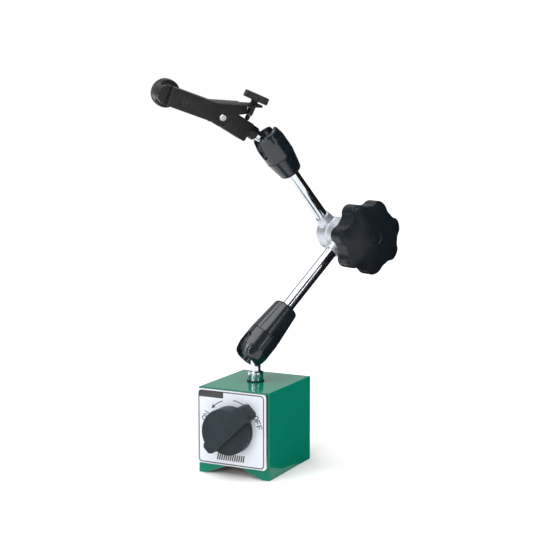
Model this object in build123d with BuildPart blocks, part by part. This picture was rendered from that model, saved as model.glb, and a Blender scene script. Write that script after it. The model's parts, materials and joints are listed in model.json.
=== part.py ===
from build123d import *
import math
import os

# Universal magnetic stand with one central lock and a fine-adjust indicator holder.
# Millimetres, +Z up, origin at the centre of the magnetic block's footprint.

# Magnetic block
block_width = 50.0
block_depth = 60.0
block_height = 55.0
block_edge_radius = 0.8
groove_half_width = 20.0
groove_depth = 8.0
spacer_width = 3.0
rotor_bore_radius = 16.0
rotor_axis_height = 30.5

# Rotor, its shaft and the switch on the front
rotor_clearance = 0.4
rotor_flat_radius = 14.0
bush_thickness = 3.0
shaft_radius = 4.0
running_gap = 0.1
plate_side_margin = 0.9
plate_top_margin = 0.5
plate_bottom_height = 7.0
plate_corner_radius = 2.0
plate_thickness = 2.6
label_thickness = 0.4
switch_gap = 0.2
switch_radius = 15.0
switch_floor = 6.0
switch_height = 11.0
switch_angle = 45.0
switch_edge_chamfer = 0.5
pointer_reach = 21.0
pointer_half_width = 5.15
tail_reach = 17.2
tail_half_width = 4.1
tip_chamfer = 1.8
shaft_engagement = 7.5
grub_radius = 2.0
detent_ring_radius = 10.5
detent_ball_radius = 1.2
detent_depth = 0.4
detent_pocket_depth = 6.0
detent_wire = 0.18
detent_coils = 5
rear_cover_radius = 22.5
rear_cover_thickness = 2.0
cover_screw_ring = 19.3
screw_radius = 1.5
screw_head_radius = 2.6
screw_length = 6.0
plate_screw_inset = 4.5

# Ball post on the block
post_thread_radius = 4.0
post_thread_length = 7.0
foot_ring_radius = 5.6
foot_ring_height = 0.8
collar_radius = 5.0
collar_height = 6.5
cross_hole_radius = 1.1
cross_hole_angle = -38.0
cross_hole_drop = 2.2
neck_radius = 3.25
ball_radius = 7.0
ball_height = 77.2

# Pose of the two arms in their common vertical plane
arm_plane_angle = 58.8
lower_arm_lean = 45.2
upper_arm_lean = -39.7
lower_arm_length = 98.0
upper_arm_length = 77.0

# Ball housings and sleeves: tip, parting line and end, all measured from the ball's centre
ball_gap = 0.1
mouth_radius = 5.2
mouth_flare = 6.7
slot_width = 7.0
slot_reach = 4.6
lower_housing_radius = 10.5
lower_sleeve_end_radius = 8.2
lower_tip = 10.0
lower_sleeve_end = 33.5
upper_housing_radius = 10.0
upper_sleeve_end_radius = 7.4
upper_tip = 9.5
upper_sleeve_end = 23.5
parting_line = 9.4
spigot_radius = 6.8
spigot_length = 3.6
parting_groove = 0.45
sleeve_end_round = 2.2

# Rods, push rods and cups
rod_radius = 4.0
rod_bore_radius = 1.7
push_rod_radius = 1.5
cup_radius = 4.9

# Elbow
hub_radius = 11.0
hub_thickness = 12.0
hub_bore_radius = 6.5
hub_partition = 2.0
hub_edge_round = 0.8
friction_washer_thickness = 0.5
friction_washer_radius = 9.5
rod_boss_radius = (hub_thickness / 2 + rod_radius) / 2 + 0.2
rod_boss_flare = hub_thickness / 2 - 0.2
rod_boss_reach = 15.5
rod_hub_depth = 9.0
bolt_radius = 3.0
cone_mid_radius = 5.0
cone_half_length = 2.4
cone_slope = 30.0
cone_contact_gap = 0.15
clamp_gap = 0.4
clamp_cap_length = 9.1
thrust_washer_radius = 7.5
thrust_washer_thickness = 0.8
bolt_head_height = 1.8
bolt_hex_radius = 2.6

# Star knob
knob_lobes = 7
knob_tip_radius = 24.5
knob_lobe_radius = 5.6
knob_valley_radius = 20.6
knob_blend_radius = 6.0
knob_phase = 20.0
knob_boss_radius = 10.0
knob_boss_height = 1.4
knob_rim_height = 12.0
knob_dome_height = 5.5
knob_insert_radius = 5.0
knob_insert_length = 12.0
knob_plug_radius = 3.6
knob_plug_depth = 2.0

# Indicator holder, in its own frame: along the stud, up, and across
stud_rise = 28.5
holder_roll = 13.0
stud_neck_radius = 2.5
stud_collar_radius = 3.25
stud_neck_length = 9.6
boss_start = 14.5
boss_gap = 0.1
boss_radius = 4.4
holder_block_start = 21.5
holder_block_top = 4.5
holder_block_bottom = -8.0
holder_block_width = 12.8
stud_thread_length = 16.0
pivot_along = 44.0
pivot_up = -2.5
pivot_radius = 1.6
block_nose_radius = 5.5
channel_inner_width = 13.2
channel_wall = 1.5
channel_front_droop = 11.0
channel_front_length = 38.0
channel_front_top = 7.25
channel_front_bottom = -4.75
channel_bend = 6.4
channel_tail_slope = 26.0
channel_tail_depth = 5.4
channel_tail_length = 20.0
tongue_length = 32.2
tongue_width = 9.0
pin_head_radius = 2.3
pin_head_height = 0.7

# Fine-adjust screw
adjust_lean = 8.0
adjust_foot_along = 25.2
adjust_head_up = 17.9
adjust_thread_radius = 2.5
adjust_tip_radius = 1.5
adjust_tip_length = 3.4
adjust_contact_gap = 0.1
adjust_head_radius = 8.2
adjust_head_height = 4.5
adjust_flutes = 36
flute_radius = 0.45

# Stem clamp
stem_radius = 4.0
stem_bore_along = 39.4
stem_block_start = 24.0
stem_block_gap = 0.05
nose_radius = 6.0
nose_width = 11.0
stem_slot = 1.6
stem_web_gap = 0.4
clamp_screw_along = 33.0
clamp_screw_radius = 2.5
clamp_washer_radius = 4.5
clamp_washer_thickness = 0.8
clamp_knob_radius = 9.0
clamp_knob_height = 6.0
clamp_knob_boss_radius = 6.0
clamp_knob_boss_height = 1.2
clamp_flutes = 44
rivet_radius = 1.2
rivet_along = 28.0
rivet_head_radius = 1.7
rivet_head_height = 0.4
spring_thickness = 0.4
spring_width = 7.0
spring_gap = 0.8
spring_reach = 11.0

os.makedirs("parts", exist_ok=True)
finished = []


def finish(part, name):
    """Label a piece and write it to its own file."""
    part.label = name
    export_step(part, f"parts/{name}.step")
    finished.append(name)


def turned(points, plane, axis):
    """A turned piece from its half profile: (radius, distance along the axis) pairs."""
    with BuildPart() as piece:
        with BuildSketch(plane):
            Polygon(*points, align=None)
        revolve(axis=axis)
    return piece.part


# Directions: the arm plane holds `reach` and +Z, and `across` points out of it to the knob
reach = Vector(math.cos(math.radians(arm_plane_angle)), math.sin(math.radians(arm_plane_angle)), 0)
up = Vector(0, 0, 1)
across = reach.cross(up)


def leaning(lean):
    """Unit vector in the arm plane, leaning by an angle from +Z towards `reach`."""
    return reach * math.sin(math.radians(lean)) + up * math.cos(math.radians(lean))


def side_of(lean):
    """Unit vector in the arm plane, square to leaning(lean)."""
    return reach * math.cos(math.radians(lean)) - up * math.sin(math.radians(lean))


# ---- magnetic block: two yokes kept apart by non-magnetic spacers
front_y = -block_depth / 2
back_y = block_depth / 2


def groove_height(x):
    """Height of the V groove's face above the underside."""
    return groove_depth * (1 - x / groove_half_width)


def yoke(side):
    """Half of the block, on the side of positive (1) or negative (-1) X."""
    inner = spacer_width / 2
    outer = block_width / 2
    corners = [
        (inner, groove_height(inner)),
        (groove_half_width, 0),
        (outer, 0),
        (outer, block_height),
        (inner, block_height),
    ]
    with BuildPart() as half:
        with BuildSketch(Plane.XZ):
            Polygon(*[(side * x, z) for x, z in corners], align=None)
            with Locations((0, rotor_axis_height)):
                Circle(rotor_bore_radius, mode=Mode.SUBTRACT)
        extrude(amount=block_depth / 2, both=True)
        outside = half.edges().filter_by(Axis.Z).group_by(Axis.X)[-1 if side > 0 else 0]
        long_edges = half.edges().filter_by(Axis.Y).group_by(Axis.X)[-1 if side > 0 else 0]
        fillet(outside + long_edges.sort_by(Axis.Z)[-1:], block_edge_radius)
        with Locations((0, 0, block_height)):
            Cylinder(
                post_thread_radius,
                post_thread_length,
                align=(Align.CENTER, Align.CENTER, Align.MAX),
                mode=Mode.SUBTRACT,
            )
        with BuildSketch(Plane.XZ.offset(block_depth / 2)):
            with Locations(*plate_screw_spots):
                Circle(screw_radius)
        extrude(amount=-(screw_length - plate_thickness), mode=Mode.SUBTRACT)
        with BuildSketch(Plane.XZ.offset(-block_depth / 2)):
            with Locations(*cover_screw_spots):
                Circle(screw_radius)
        extrude(amount=screw_length - rear_cover_thickness, mode=Mode.SUBTRACT)
    return half.part


plate_width = block_width - 2 * plate_side_margin
plate_top = block_height - plate_top_margin
plate_height = plate_top - plate_bottom_height
plate_middle = (plate_top + plate_bottom_height) / 2
plate_screw_spots = [
    (
        across_sign * (plate_width / 2 - plate_screw_inset),
        plate_middle + up_sign * (plate_height / 2 - plate_screw_inset),
    )
    for across_sign in (-1, 1)
    for up_sign in (-1, 1)
]
cover_screw_spots = [
    (
        cover_screw_ring * math.cos(math.radians(angle)),
        rotor_axis_height + cover_screw_ring * math.sin(math.radians(angle)),
    )
    for angle in (20, 160, 215, 325)
]

finish(yoke(-1), "left_yoke")
finish(yoke(1), "right_yoke")

with BuildPart() as upper_spacer:
    with BuildSketch(Plane.XZ):
        with Locations((0, rotor_axis_height)):
            Rectangle(
                spacer_width, block_height - rotor_axis_height, align=(Align.CENTER, Align.MIN)
            )
            Circle(rotor_bore_radius, mode=Mode.SUBTRACT)
    extrude(amount=block_depth / 2, both=True)
    with Locations((0, 0, block_height)):
        Cylinder(
            post_thread_radius,
            post_thread_length,
            align=(Align.CENTER, Align.CENTER, Align.MAX),
            mode=Mode.SUBTRACT,
        )
finish(upper_spacer.part, "upper_spacer")

with BuildPart() as lower_spacer:
    with BuildSketch(Plane.XZ):
        Polygon(
            (-spacer_width / 2, groove_height(spacer_width / 2)),
            (0, groove_depth),
            (spacer_width / 2, groove_height(spacer_width / 2)),
            (spacer_width / 2, rotor_axis_height),
            (-spacer_width / 2, rotor_axis_height),
            align=None,
        )
        with Locations((0, rotor_axis_height)):
            Circle(rotor_bore_radius, mode=Mode.SUBTRACT)
    extrude(amount=block_depth / 2, both=True)
finish(lower_spacer.part, "lower_spacer")

# ---- rotor: a round magnet with two flats on a shaft between two bushes
rotor_radius = rotor_bore_radius - rotor_clearance
bush_inner_y = block_depth / 2 - bush_thickness
rotor_half_length = bush_inner_y - rotor_clearance
shaft_bore_radius = shaft_radius + running_gap
plate_front_y = front_y - plate_thickness - label_thickness
switch_back_y = plate_front_y - switch_gap

with BuildPart() as rotor_magnet:
    with BuildSketch(Plane.XZ):
        with Locations((0, rotor_axis_height)):
            Circle(rotor_radius)
            Rectangle(
                2 * rotor_radius,
                2 * rotor_flat_radius,
                rotation=switch_angle,
                mode=Mode.INTERSECT,
            )
            Circle(shaft_radius, mode=Mode.SUBTRACT)
    extrude(amount=rotor_half_length, both=True)
finish(rotor_magnet.part, "rotor_magnet")

with BuildPart() as rotor_shaft:
    with BuildSketch(Plane.XZ.offset(-back_y + running_gap)):
        with Locations((0, rotor_axis_height)):
            Circle(shaft_radius)
    extrude(amount=back_y - running_gap - switch_back_y + shaft_engagement)
finish(rotor_shaft.part, "rotor_shaft")

for bush_name, bush_side in (("front_bush", 1), ("rear_bush", -1)):
    with BuildPart() as bush:
        with BuildSketch(Plane.XZ.offset(bush_side * bush_inner_y)):
            with Locations((0, rotor_axis_height)):
                Circle(rotor_bore_radius)
                Circle(shaft_bore_radius, mode=Mode.SUBTRACT)
        extrude(amount=bush_side * bush_thickness)
    finish(bush.part, bush_name)

# ---- front plate with the label sheet, its screws and the detent's two dimples
detent_spots = [
    (
        detent_ring_radius * math.cos(math.radians(switch_angle + turn)),
        rotor_axis_height + detent_ring_radius * math.sin(math.radians(switch_angle + turn)),
    )
    for turn in (90, 180)
]


def plate_layer(start, thickness, screw_holes):
    """One layer of the front plate, `start` in front of the block."""
    with BuildPart() as layer:
        with BuildSketch(Plane.XZ.offset(block_depth / 2 + start)):
            with Locations((0, plate_middle)):
                RectangleRounded(plate_width, plate_height, plate_corner_radius)
            with Locations((0, rotor_axis_height)):
                Circle(shaft_bore_radius + running_gap, mode=Mode.SUBTRACT)
        extrude(amount=thickness)
        for x, z in detent_spots:
            with Locations((x, plate_front_y - detent_ball_radius + detent_depth, z)):
                Sphere(detent_ball_radius, mode=Mode.SUBTRACT)
        if screw_holes:
            for x, z in plate_screw_spots:
                with Locations(Plane((x, front_y - plate_thickness, z), z_dir=(0, -1, 0))):
                    CounterSinkHole(screw_radius, screw_head_radius, depth=plate_thickness)
    return layer.part


finish(plate_layer(0, plate_thickness, True), "front_plate")
finish(plate_layer(plate_thickness, label_thickness, False), "label_sheet")


def screw_group(spots, head_y, outward):
    """Countersunk screws, each turned about its own line along Y, heads flush at head_y."""
    with BuildPart() as screws:
        for x, z in spots:
            with BuildSketch(Plane((x, head_y, z), x_dir=(1, 0, 0), z_dir=(0, 0, 1))):
                Polygon(
                    (0, 0),
                    (screw_head_radius, 0),
                    (screw_radius, -outward * (screw_head_radius - screw_radius)),
                    (screw_radius, -outward * screw_length),
                    (0, -outward * screw_length),
                    align=None,
                )
            revolve(axis=Axis((x, head_y, z), (0, 1, 0)))
        for x, z in spots:
            with Locations((x, head_y, z)):
                Box(2 * screw_head_radius, 1.0, 0.6, mode=Mode.SUBTRACT)
    return screws.part


finish(screw_group(plate_screw_spots, front_y - plate_thickness, -1), "plate_screws")

# ---- rear cover with its four screws
with BuildPart() as rear_cover:
    with BuildSketch(Plane.XZ.offset(-block_depth / 2)):
        with Locations((0, rotor_axis_height)):
            Circle(rear_cover_radius)
    extrude(amount=-rear_cover_thickness)
    chamfer(rear_cover.edges().group_by(Axis.Y)[-1], rear_cover_thickness / 5)
    for x, z in cover_screw_spots:
        with Locations(Plane((x, back_y + rear_cover_thickness, z), z_dir=(0, 1, 0))):
            CounterSinkHole(screw_radius, screw_head_radius, depth=rear_cover_thickness)
finish(rear_cover.part, "rear_cover")
finish(screw_group(cover_screw_spots, back_y + rear_cover_thickness, 1), "rear_cover_screws")

# ---- switch knob: a disc with a raised pointer bar, fixed by a grub screw
switch_plane = Plane((0, switch_back_y, rotor_axis_height), x_dir=(1, 0, 0), z_dir=(0, -1, 0))
pointer_bar = [
    (-tail_reach, -tail_half_width + tip_chamfer),
    (-tail_reach + tip_chamfer, -tail_half_width),
    (0, -pointer_half_width),
    (pointer_reach - tip_chamfer, -pointer_half_width),
    (pointer_reach, -pointer_half_width + tip_chamfer),
    (pointer_reach, pointer_half_width - tip_chamfer),
    (pointer_reach - tip_chamfer, pointer_half_width),
    (0, pointer_half_width),
    (-tail_reach + tip_chamfer, tail_half_width),
    (-tail_reach, tail_half_width - tip_chamfer),
]
plateau = [
    (-2 * switch_radius, -tail_half_width),
    (-tail_reach + tip_chamfer, -tail_half_width),
    (0, -pointer_half_width),
    (2 * switch_radius, -pointer_half_width),
    (2 * switch_radius, 2 * switch_radius),
    (-2 * switch_radius, 2 * switch_radius),
]
grub_up = switch_floor / 2
detent_pocket = (
    detent_ring_radius * math.cos(math.radians(switch_angle + 90)),
    detent_ring_radius * math.sin(math.radians(switch_angle + 90)),
)

with BuildPart() as switch_knob:
    with BuildSketch(switch_plane):
        Circle(switch_radius)
        Polygon(*pointer_bar, rotation=switch_angle, align=None)
    extrude(amount=switch_floor)
    with BuildSketch(switch_plane.offset(switch_floor)):
        Circle(switch_radius)
        Polygon(*plateau, rotation=switch_angle, align=None, mode=Mode.INTERSECT)
        Polygon(*pointer_bar, rotation=switch_angle, align=None)
    extrude(amount=switch_height - switch_floor)
    chamfer(switch_knob.faces().sort_by(Axis.Y)[0].edges(), switch_edge_chamfer)
    with BuildSketch(switch_plane):
        Circle(shaft_radius)
    extrude(amount=shaft_engagement, mode=Mode.SUBTRACT)
    with BuildSketch(switch_plane):
        with Locations(detent_pocket):
            Circle(detent_ball_radius + running_gap)
    extrude(amount=detent_pocket_depth, mode=Mode.SUBTRACT)
    with BuildSketch(
        Plane((0, switch_back_y - grub_up, rotor_axis_height - switch_radius), z_dir=(0, 0, 1))
    ):
        Circle(grub_radius)
    extrude(amount=switch_radius - shaft_radius, mode=Mode.SUBTRACT)
finish(switch_knob.part, "switch_knob")

with BuildPart() as switch_grub_screw:
    with BuildSketch(Plane((0, switch_back_y - grub_up, rotor_axis_height - shaft_radius))):
        Circle(grub_radius)
    extrude(amount=-(switch_radius - shaft_radius - 1))
    with BuildSketch(Plane((0, switch_back_y - grub_up, rotor_axis_height - switch_radius + 1))):
        RegularPolygon(grub_radius / 2, 6)
    extrude(amount=grub_radius, mode=Mode.SUBTRACT)
finish(switch_grub_screw.part, "switch_grub_screw")

detent_line = (detent_pocket[0], rotor_axis_height + detent_pocket[1])
detent_ball_y = plate_front_y - detent_ball_radius - running_gap / 2
with BuildPart() as detent_ball:
    with Locations((detent_line[0], detent_ball_y, detent_line[1])):
        Sphere(detent_ball_radius)
finish(detent_ball.part, "detent_ball")

detent_spring_end = switch_back_y - detent_pocket_depth
detent_spring_start = detent_ball_y - detent_ball_radius
detent_spring_length = detent_spring_start - detent_spring_end
with BuildPart() as detent_spring:
    with BuildLine() as detent_path:
        Helix(
            pitch=(detent_spring_length - 2 * detent_wire) / detent_coils,
            height=detent_spring_length - 2 * detent_wire,
            radius=detent_ball_radius - detent_wire - running_gap / 2,
            center=(detent_line[0], detent_spring_start - detent_wire, detent_line[1]),
            direction=(0, -1, 0),
        )
    with BuildSketch(Plane(detent_path.wire() @ 0, z_dir=detent_path.wire() % 0)):
        Circle(detent_wire)
    sweep(is_frenet=True)
finish(detent_spring.part, "detent_spring")

# ---- ball post screwed into the top of the block
ball_one = Vector(0, 0, ball_height)
foot_top = block_height + foot_ring_height
collar_top = block_height + collar_height

with BuildPart() as foot_ring:
    with BuildSketch(Plane.XY.offset(block_height)):
        Circle(foot_ring_radius)
        Circle(post_thread_radius, mode=Mode.SUBTRACT)
    extrude(amount=foot_ring_height)
finish(foot_ring.part, "foot_ring")

with BuildPart() as lower_ball_post:
    with BuildSketch(Plane.XZ):
        Polygon(
            (0, block_height - post_thread_length),
            (post_thread_radius, block_height - post_thread_length),
            (post_thread_radius, foot_top),
            (collar_radius, foot_top),
            (collar_radius, collar_top - 0.5),
            (collar_radius - 0.5, collar_top),
            (neck_radius, collar_top + 0.5),
            (neck_radius, ball_height),
            (0, ball_height),
            align=None,
        )
    revolve(axis=Axis.Z)
    with Locations(ball_one):
        Sphere(ball_radius)
    cross_hole_dir = Vector(1, 0, 0).rotate(Axis.Z, cross_hole_angle)
    with Locations(Plane((0, 0, collar_top - cross_hole_drop), z_dir=cross_hole_dir)):
        Cylinder(cross_hole_radius, 4 * collar_radius, mode=Mode.SUBTRACT)
finish(lower_ball_post.part, "lower_ball_post")


# ---- the two hollow arms, each with a slotted ball housing, sleeve, rod, cup and push rod
class Arm:
    """Sizes and planes of one arm; distances run along it from its ball's centre."""

    def __init__(self, name, ball, lean, length, tip, housing_radius, sleeve_end, end_radius):
        self.name = name
        self.ball = ball
        self.along = leaning(lean)
        self.side = side_of(lean)
        self.length = length
        self.tip = tip
        self.housing_radius = housing_radius
        self.sleeve_end = sleeve_end
        self.end_radius = end_radius
        self.plane = Plane(ball, x_dir=self.side, z_dir=across)
        self.axis = Axis(ball, self.along)
        self.slot_plane = Plane(ball, x_dir=across, z_dir=-self.side)
        self.rod_start = parting_line + spigot_length + 0.6

    def turn(self, points):
        return turned(points, self.plane, self.axis)


cavity_radius = ball_radius + ball_gap
mouth_start = -math.sqrt(cavity_radius**2 - mouth_radius**2)
cup_bore_radius = cup_radius + ball_gap
cone_rise = math.tan(math.radians(cone_slope))
push_end = cone_mid_radius + (push_rod_radius + cone_contact_gap) / math.cos(math.radians(cone_slope))


def ball_housing(arm):
    """Slotted housing that holds the ball, with a screwed spigot behind."""
    round_off = arm.tip / 3
    with BuildPart() as housing:
        with BuildSketch(arm.plane):
            with BuildLine():
                Polyline(
                    (0, parting_line + spigot_length),
                    (spigot_radius, parting_line + spigot_length),
                    (spigot_radius, parting_line + parting_groove),
                    (arm.housing_radius - parting_groove, parting_line + parting_groove),
                    (arm.housing_radius - parting_groove, parting_line),
                    (arm.housing_radius, parting_line - parting_groove),
                    (arm.housing_radius, round_off - arm.tip / 2),
                )
                Spline(
                    (arm.housing_radius, round_off - arm.tip / 2),
                    (arm.housing_radius - 0.7, -arm.tip * 0.62),
                    (mouth_flare + 0.9, -arm.tip),
                    tangents=((0, -1), (-1, -0.45)),
                )
                Polyline(
                    (mouth_flare + 0.9, -arm.tip),
                    (0, -arm.tip),
                    (0, parting_line + spigot_length),
                )
            make_face()
        revolve(axis=arm.axis)
        with BuildSketch(arm.plane):
            Polygon(
                (0, -arm.tip - 1),
                (mouth_flare + 0.3, -arm.tip - 1),
                (mouth_flare, -arm.tip),
                (mouth_radius, mouth_start),
                (0, 0),
                align=None,
            )
            Rectangle(
                cup_bore_radius, parting_line + spigot_length + 1, align=(Align.MIN, Align.MIN)
            )
        revolve(axis=arm.axis, mode=Mode.SUBTRACT)
        with Locations(arm.ball):
            Sphere(cavity_radius, mode=Mode.SUBTRACT)
        with BuildSketch(arm.slot_plane):
            with Locations((0, slot_reach - slot_width / 2)):
                Circle(slot_width / 2)
                Rectangle(slot_width, 2 * arm.tip, align=(Align.CENTER, Align.MAX))
        extrude(amount=2 * arm.housing_radius, both=True, mode=Mode.SUBTRACT)
    return housing.part


def sleeve(arm):
    """Tapered sleeve that joins the housing to the rod."""
    start_radius = arm.housing_radius - 0.1
    with BuildPart() as tube:
        with BuildSketch(arm.plane):
            Polygon(
                (spigot_radius, parting_line + parting_groove),
                (start_radius, parting_line + parting_groove),
                (arm.end_radius, arm.sleeve_end),
                (rod_radius, arm.sleeve_end),
                (rod_radius, arm.rod_start),
                (push_rod_radius + 0.5, arm.rod_start),
                (push_rod_radius + 0.5, parting_line + spigot_length),
                (spigot_radius, parting_line + spigot_length),
                align=None,
            )
        revolve(axis=arm.axis)
        rim = tube.edges().filter_by(GeomType.CIRCLE).sort_by(lambda e: -abs(
            (e.arc_center - arm.ball).length - arm.sleeve_end) + e.radius / 100)[-1]
        fillet(rim, sleeve_end_round)
    return tube.part


def rod(arm):
    """Hollow chromed rod from the sleeve to the hub."""
    return arm.turn([
        (rod_bore_radius, arm.rod_start),
        (rod_radius, arm.rod_start),
        (rod_radius, arm.length - rod_hub_depth),
        (rod_bore_radius, arm.length - rod_hub_depth),
    ])


def push_rod(arm):
    """Rod that carries the elbow cone's thrust to the cup, with a rounded end."""
    with BuildPart() as pusher:
        with BuildSketch(arm.plane):
            with Locations((0, parting_line)):
                Rectangle(
                    push_rod_radius,
                    arm.length - push_end - parting_line,
                    align=(Align.MIN, Align.MIN),
                )
        revolve(axis=arm.axis)
        with Locations(arm.ball + arm.along * (arm.length - push_end)):
            Sphere(push_rod_radius)
    return pusher.part


def ball_cup(arm):
    """Cup that presses on the ball."""
    rim_angle = math.asin(cup_radius / cavity_radius)
    with BuildPart() as cup:
        with BuildSketch(arm.plane):
            with BuildLine():
                ThreePointArc(
                    (0, cavity_radius),
                    (
                        cavity_radius * math.sin(rim_angle / 2),
                        cavity_radius * math.cos(rim_angle / 2),
                    ),
                    (cup_radius, cavity_radius * math.cos(rim_angle)),
                )
                Polyline(
                    (cup_radius, cavity_radius * math.cos(rim_angle)),
                    (cup_radius, parting_line),
                    (0, parting_line),
                    (0, cavity_radius),
                )
            make_face()
        revolve(axis=arm.axis)
    return cup.part


lower_arm = Arm(
    "lower", ball_one, lower_arm_lean, lower_arm_length, lower_tip,
    lower_housing_radius, lower_sleeve_end, lower_sleeve_end_radius,
)
elbow = ball_one + lower_arm.along * lower_arm_length
upper_hub_offset = -(hub_thickness + friction_washer_thickness)
upper_hub_centre = elbow + across * upper_hub_offset
ball_two = upper_hub_centre + leaning(upper_arm_lean) * upper_arm_length
# The upper arm is drawn from its own ball back to the elbow
upper_arm = Arm(
    "upper", ball_two, upper_arm_lean + 180, upper_arm_length, upper_tip,
    upper_housing_radius, upper_sleeve_end, upper_sleeve_end_radius,
)

for arm in (lower_arm, upper_arm):
    finish(ball_housing(arm), f"{arm.name}_ball_housing")
    finish(sleeve(arm), f"{arm.name}_sleeve")
    finish(rod(arm), f"{arm.name}_rod")
    finish(push_rod(arm), f"{arm.name}_push_rod")
    finish(ball_cup(arm), f"{arm.name}_ball_cup")

# ---- elbow: two hubs face to face, drawn together by the knob on one bolt
elbow_plane = Plane(elbow, x_dir=reach, z_dir=across)
elbow_axis = Axis(elbow, across)
elbow_profile = Plane(elbow, x_dir=reach, z_dir=reach.cross(across))
half_hub = hub_thickness / 2
bolt_bore_radius = bolt_radius + running_gap / 2
cone_radius = cone_mid_radius + cone_half_length * cone_rise


def hub(arm, centre, open_side):
    """Round hub with a boss for the rod; its bore opens to one side along the elbow's axis."""
    middle = Plane(centre, x_dir=reach, z_dir=across)
    with BuildPart() as body:
        with BuildSketch(middle):
            Circle(hub_radius)
        extrude(amount=half_hub, both=True)
        chamfer(body.edges().filter_by(GeomType.CIRCLE), hub_edge_round)
        with BuildSketch(arm.plane):
            Polygon(
                (0, arm.length - hub_radius + 2),
                (rod_boss_flare, arm.length - hub_radius + 2),
                (rod_boss_flare, arm.length - hub_radius - 0.5),
                (rod_boss_radius, arm.length - hub_radius - 2.5),
                (rod_boss_radius, arm.length - rod_boss_reach),
                (0, arm.length - rod_boss_reach),
                align=None,
            )
        revolve(axis=arm.axis)
        with BuildSketch(arm.plane):
            Polygon(
                (0, 0),
                (rod_radius, 0),
                (rod_radius, arm.length - rod_hub_depth),
                (push_rod_radius + running_gap, arm.length - rod_hub_depth),
                (push_rod_radius + running_gap, arm.length),
                (0, arm.length),
                align=None,
            )
        revolve(axis=arm.axis, mode=Mode.SUBTRACT)
        with BuildSketch(middle.offset(open_side * (hub_partition - half_hub))):
            Circle(hub_bore_radius)
        extrude(amount=open_side * hub_thickness, mode=Mode.SUBTRACT)
        with BuildSketch(middle):
            Circle(bolt_bore_radius)
        extrude(amount=hub_thickness, both=True, mode=Mode.SUBTRACT)
    return body.part


finish(hub(lower_arm, elbow, 1), "lower_hub")
finish(hub(upper_arm, upper_hub_centre, -1), "upper_hub")

with BuildPart() as friction_washer:
    with BuildSketch(elbow_plane.offset(-half_hub - friction_washer_thickness)):
        Circle(friction_washer_radius)
        Circle(bolt_bore_radius, mode=Mode.SUBTRACT)
    extrude(amount=friction_washer_thickness)
finish(friction_washer.part, "friction_washer")


def cone(middle, open_side, stem_end):
    """Cone whose wide end faces the open side of its hub; places are along the elbow's axis."""
    return turned(
        [
            (bolt_bore_radius, middle - open_side * cone_half_length),
            (2 * cone_mid_radius - cone_radius, middle - open_side * cone_half_length),
            (cone_radius, middle + open_side * cone_half_length),
            (cone_radius, stem_end),
            (bolt_bore_radius, stem_end),
        ],
        elbow_profile,
        elbow_axis,
    )


cap_start = half_hub + clamp_gap
cap_end = cap_start + clamp_cap_length
knob_start = cap_end + thrust_washer_thickness
bolt_head_back = upper_hub_offset - half_hub + 0.3
bolt_head_front = bolt_head_back + bolt_head_height
finish(cone(0, 1, cap_start), "front_cone")
finish(cone(upper_hub_offset, -1, bolt_head_front), "back_cone")

with BuildPart() as clamp_cap:
    with BuildSketch(elbow_plane.offset(cap_start)):
        Circle(hub_radius)
        Circle(bolt_bore_radius, mode=Mode.SUBTRACT)
    extrude(amount=clamp_cap_length)
    rims = clamp_cap.edges().filter_by(GeomType.CIRCLE).group_by(SortBy.RADIUS)[-1]
    chamfer(rims, hub_edge_round / 2)
finish(clamp_cap.part, "clamp_cap")

with BuildPart() as thrust_washer:
    with BuildSketch(elbow_plane.offset(cap_end)):
        Circle(thrust_washer_radius)
        Circle(bolt_bore_radius, mode=Mode.SUBTRACT)
    extrude(amount=thrust_washer_thickness)
finish(thrust_washer.part, "thrust_washer")

with BuildPart() as elbow_bolt:
    with BuildSketch(elbow_plane.offset(bolt_head_back)):
        Circle(cone_radius)
    extrude(amount=bolt_head_height)
    with BuildSketch(elbow_plane.offset(bolt_head_front)):
        Circle(bolt_radius)
    extrude(amount=knob_start + knob_insert_length - 1 - bolt_head_front)
    with BuildSketch(elbow_plane.offset(bolt_head_back)):
        RegularPolygon(bolt_hex_radius, 6)
    extrude(amount=bolt_head_height + 1, mode=Mode.SUBTRACT)
finish(elbow_bolt.part, "elbow_bolt")

# ---- star knob with its brass insert and centre plug
knob_back = knob_start + knob_boss_height
knob_face = knob_back + knob_rim_height
knob_top = knob_face + knob_dome_height
knob_plane = Plane(elbow, x_dir=reach.rotate(Axis((0, 0, 0), across), knob_phase), z_dir=across)

with BuildPart() as star_knob:
    with BuildSketch(knob_plane.offset(knob_back)) as star:
        Circle(knob_valley_radius)
        with PolarLocations(knob_tip_radius - knob_lobe_radius, knob_lobes):
            Circle(knob_lobe_radius)
        fillet(star.vertices(), knob_blend_radius)
    extrude(amount=knob_top - knob_back)
    with BuildSketch(elbow_profile):
        with BuildLine():
            Polyline(
                (0, knob_top),
                (0, knob_back),
                (knob_tip_radius - 2, knob_back),
                (knob_tip_radius + 0.5, knob_back + 2.5),
                (knob_tip_radius + 0.5, knob_face - 3),
            )
            Spline(
                (knob_tip_radius + 0.5, knob_face - 3),
                (knob_tip_radius - 4, knob_face + 1.2),
                (0, knob_top),
                tangents=((-0.35, 1), (-1, 0)),
            )
        make_face()
    revolve(axis=elbow_axis, mode=Mode.INTERSECT)
    with BuildSketch(elbow_plane.offset(knob_start)):
        Circle(knob_boss_radius)
    extrude(amount=knob_boss_height)
    with BuildSketch(elbow_plane.offset(knob_start)):
        Circle(knob_insert_radius)
    extrude(amount=knob_insert_length, mode=Mode.SUBTRACT)
    with BuildSketch(elbow_plane.offset(knob_top - knob_plug_depth)):
        Circle(knob_plug_radius)
    extrude(amount=2 * knob_plug_depth, mode=Mode.SUBTRACT)
finish(star_knob.part, "star_knob")

with BuildPart() as knob_insert:
    with BuildSketch(elbow_plane.offset(knob_start)):
        Circle(knob_insert_radius)
        Circle(bolt_bore_radius, mode=Mode.SUBTRACT)
    extrude(amount=knob_insert_length)
finish(knob_insert.part, "knob_insert")

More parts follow.
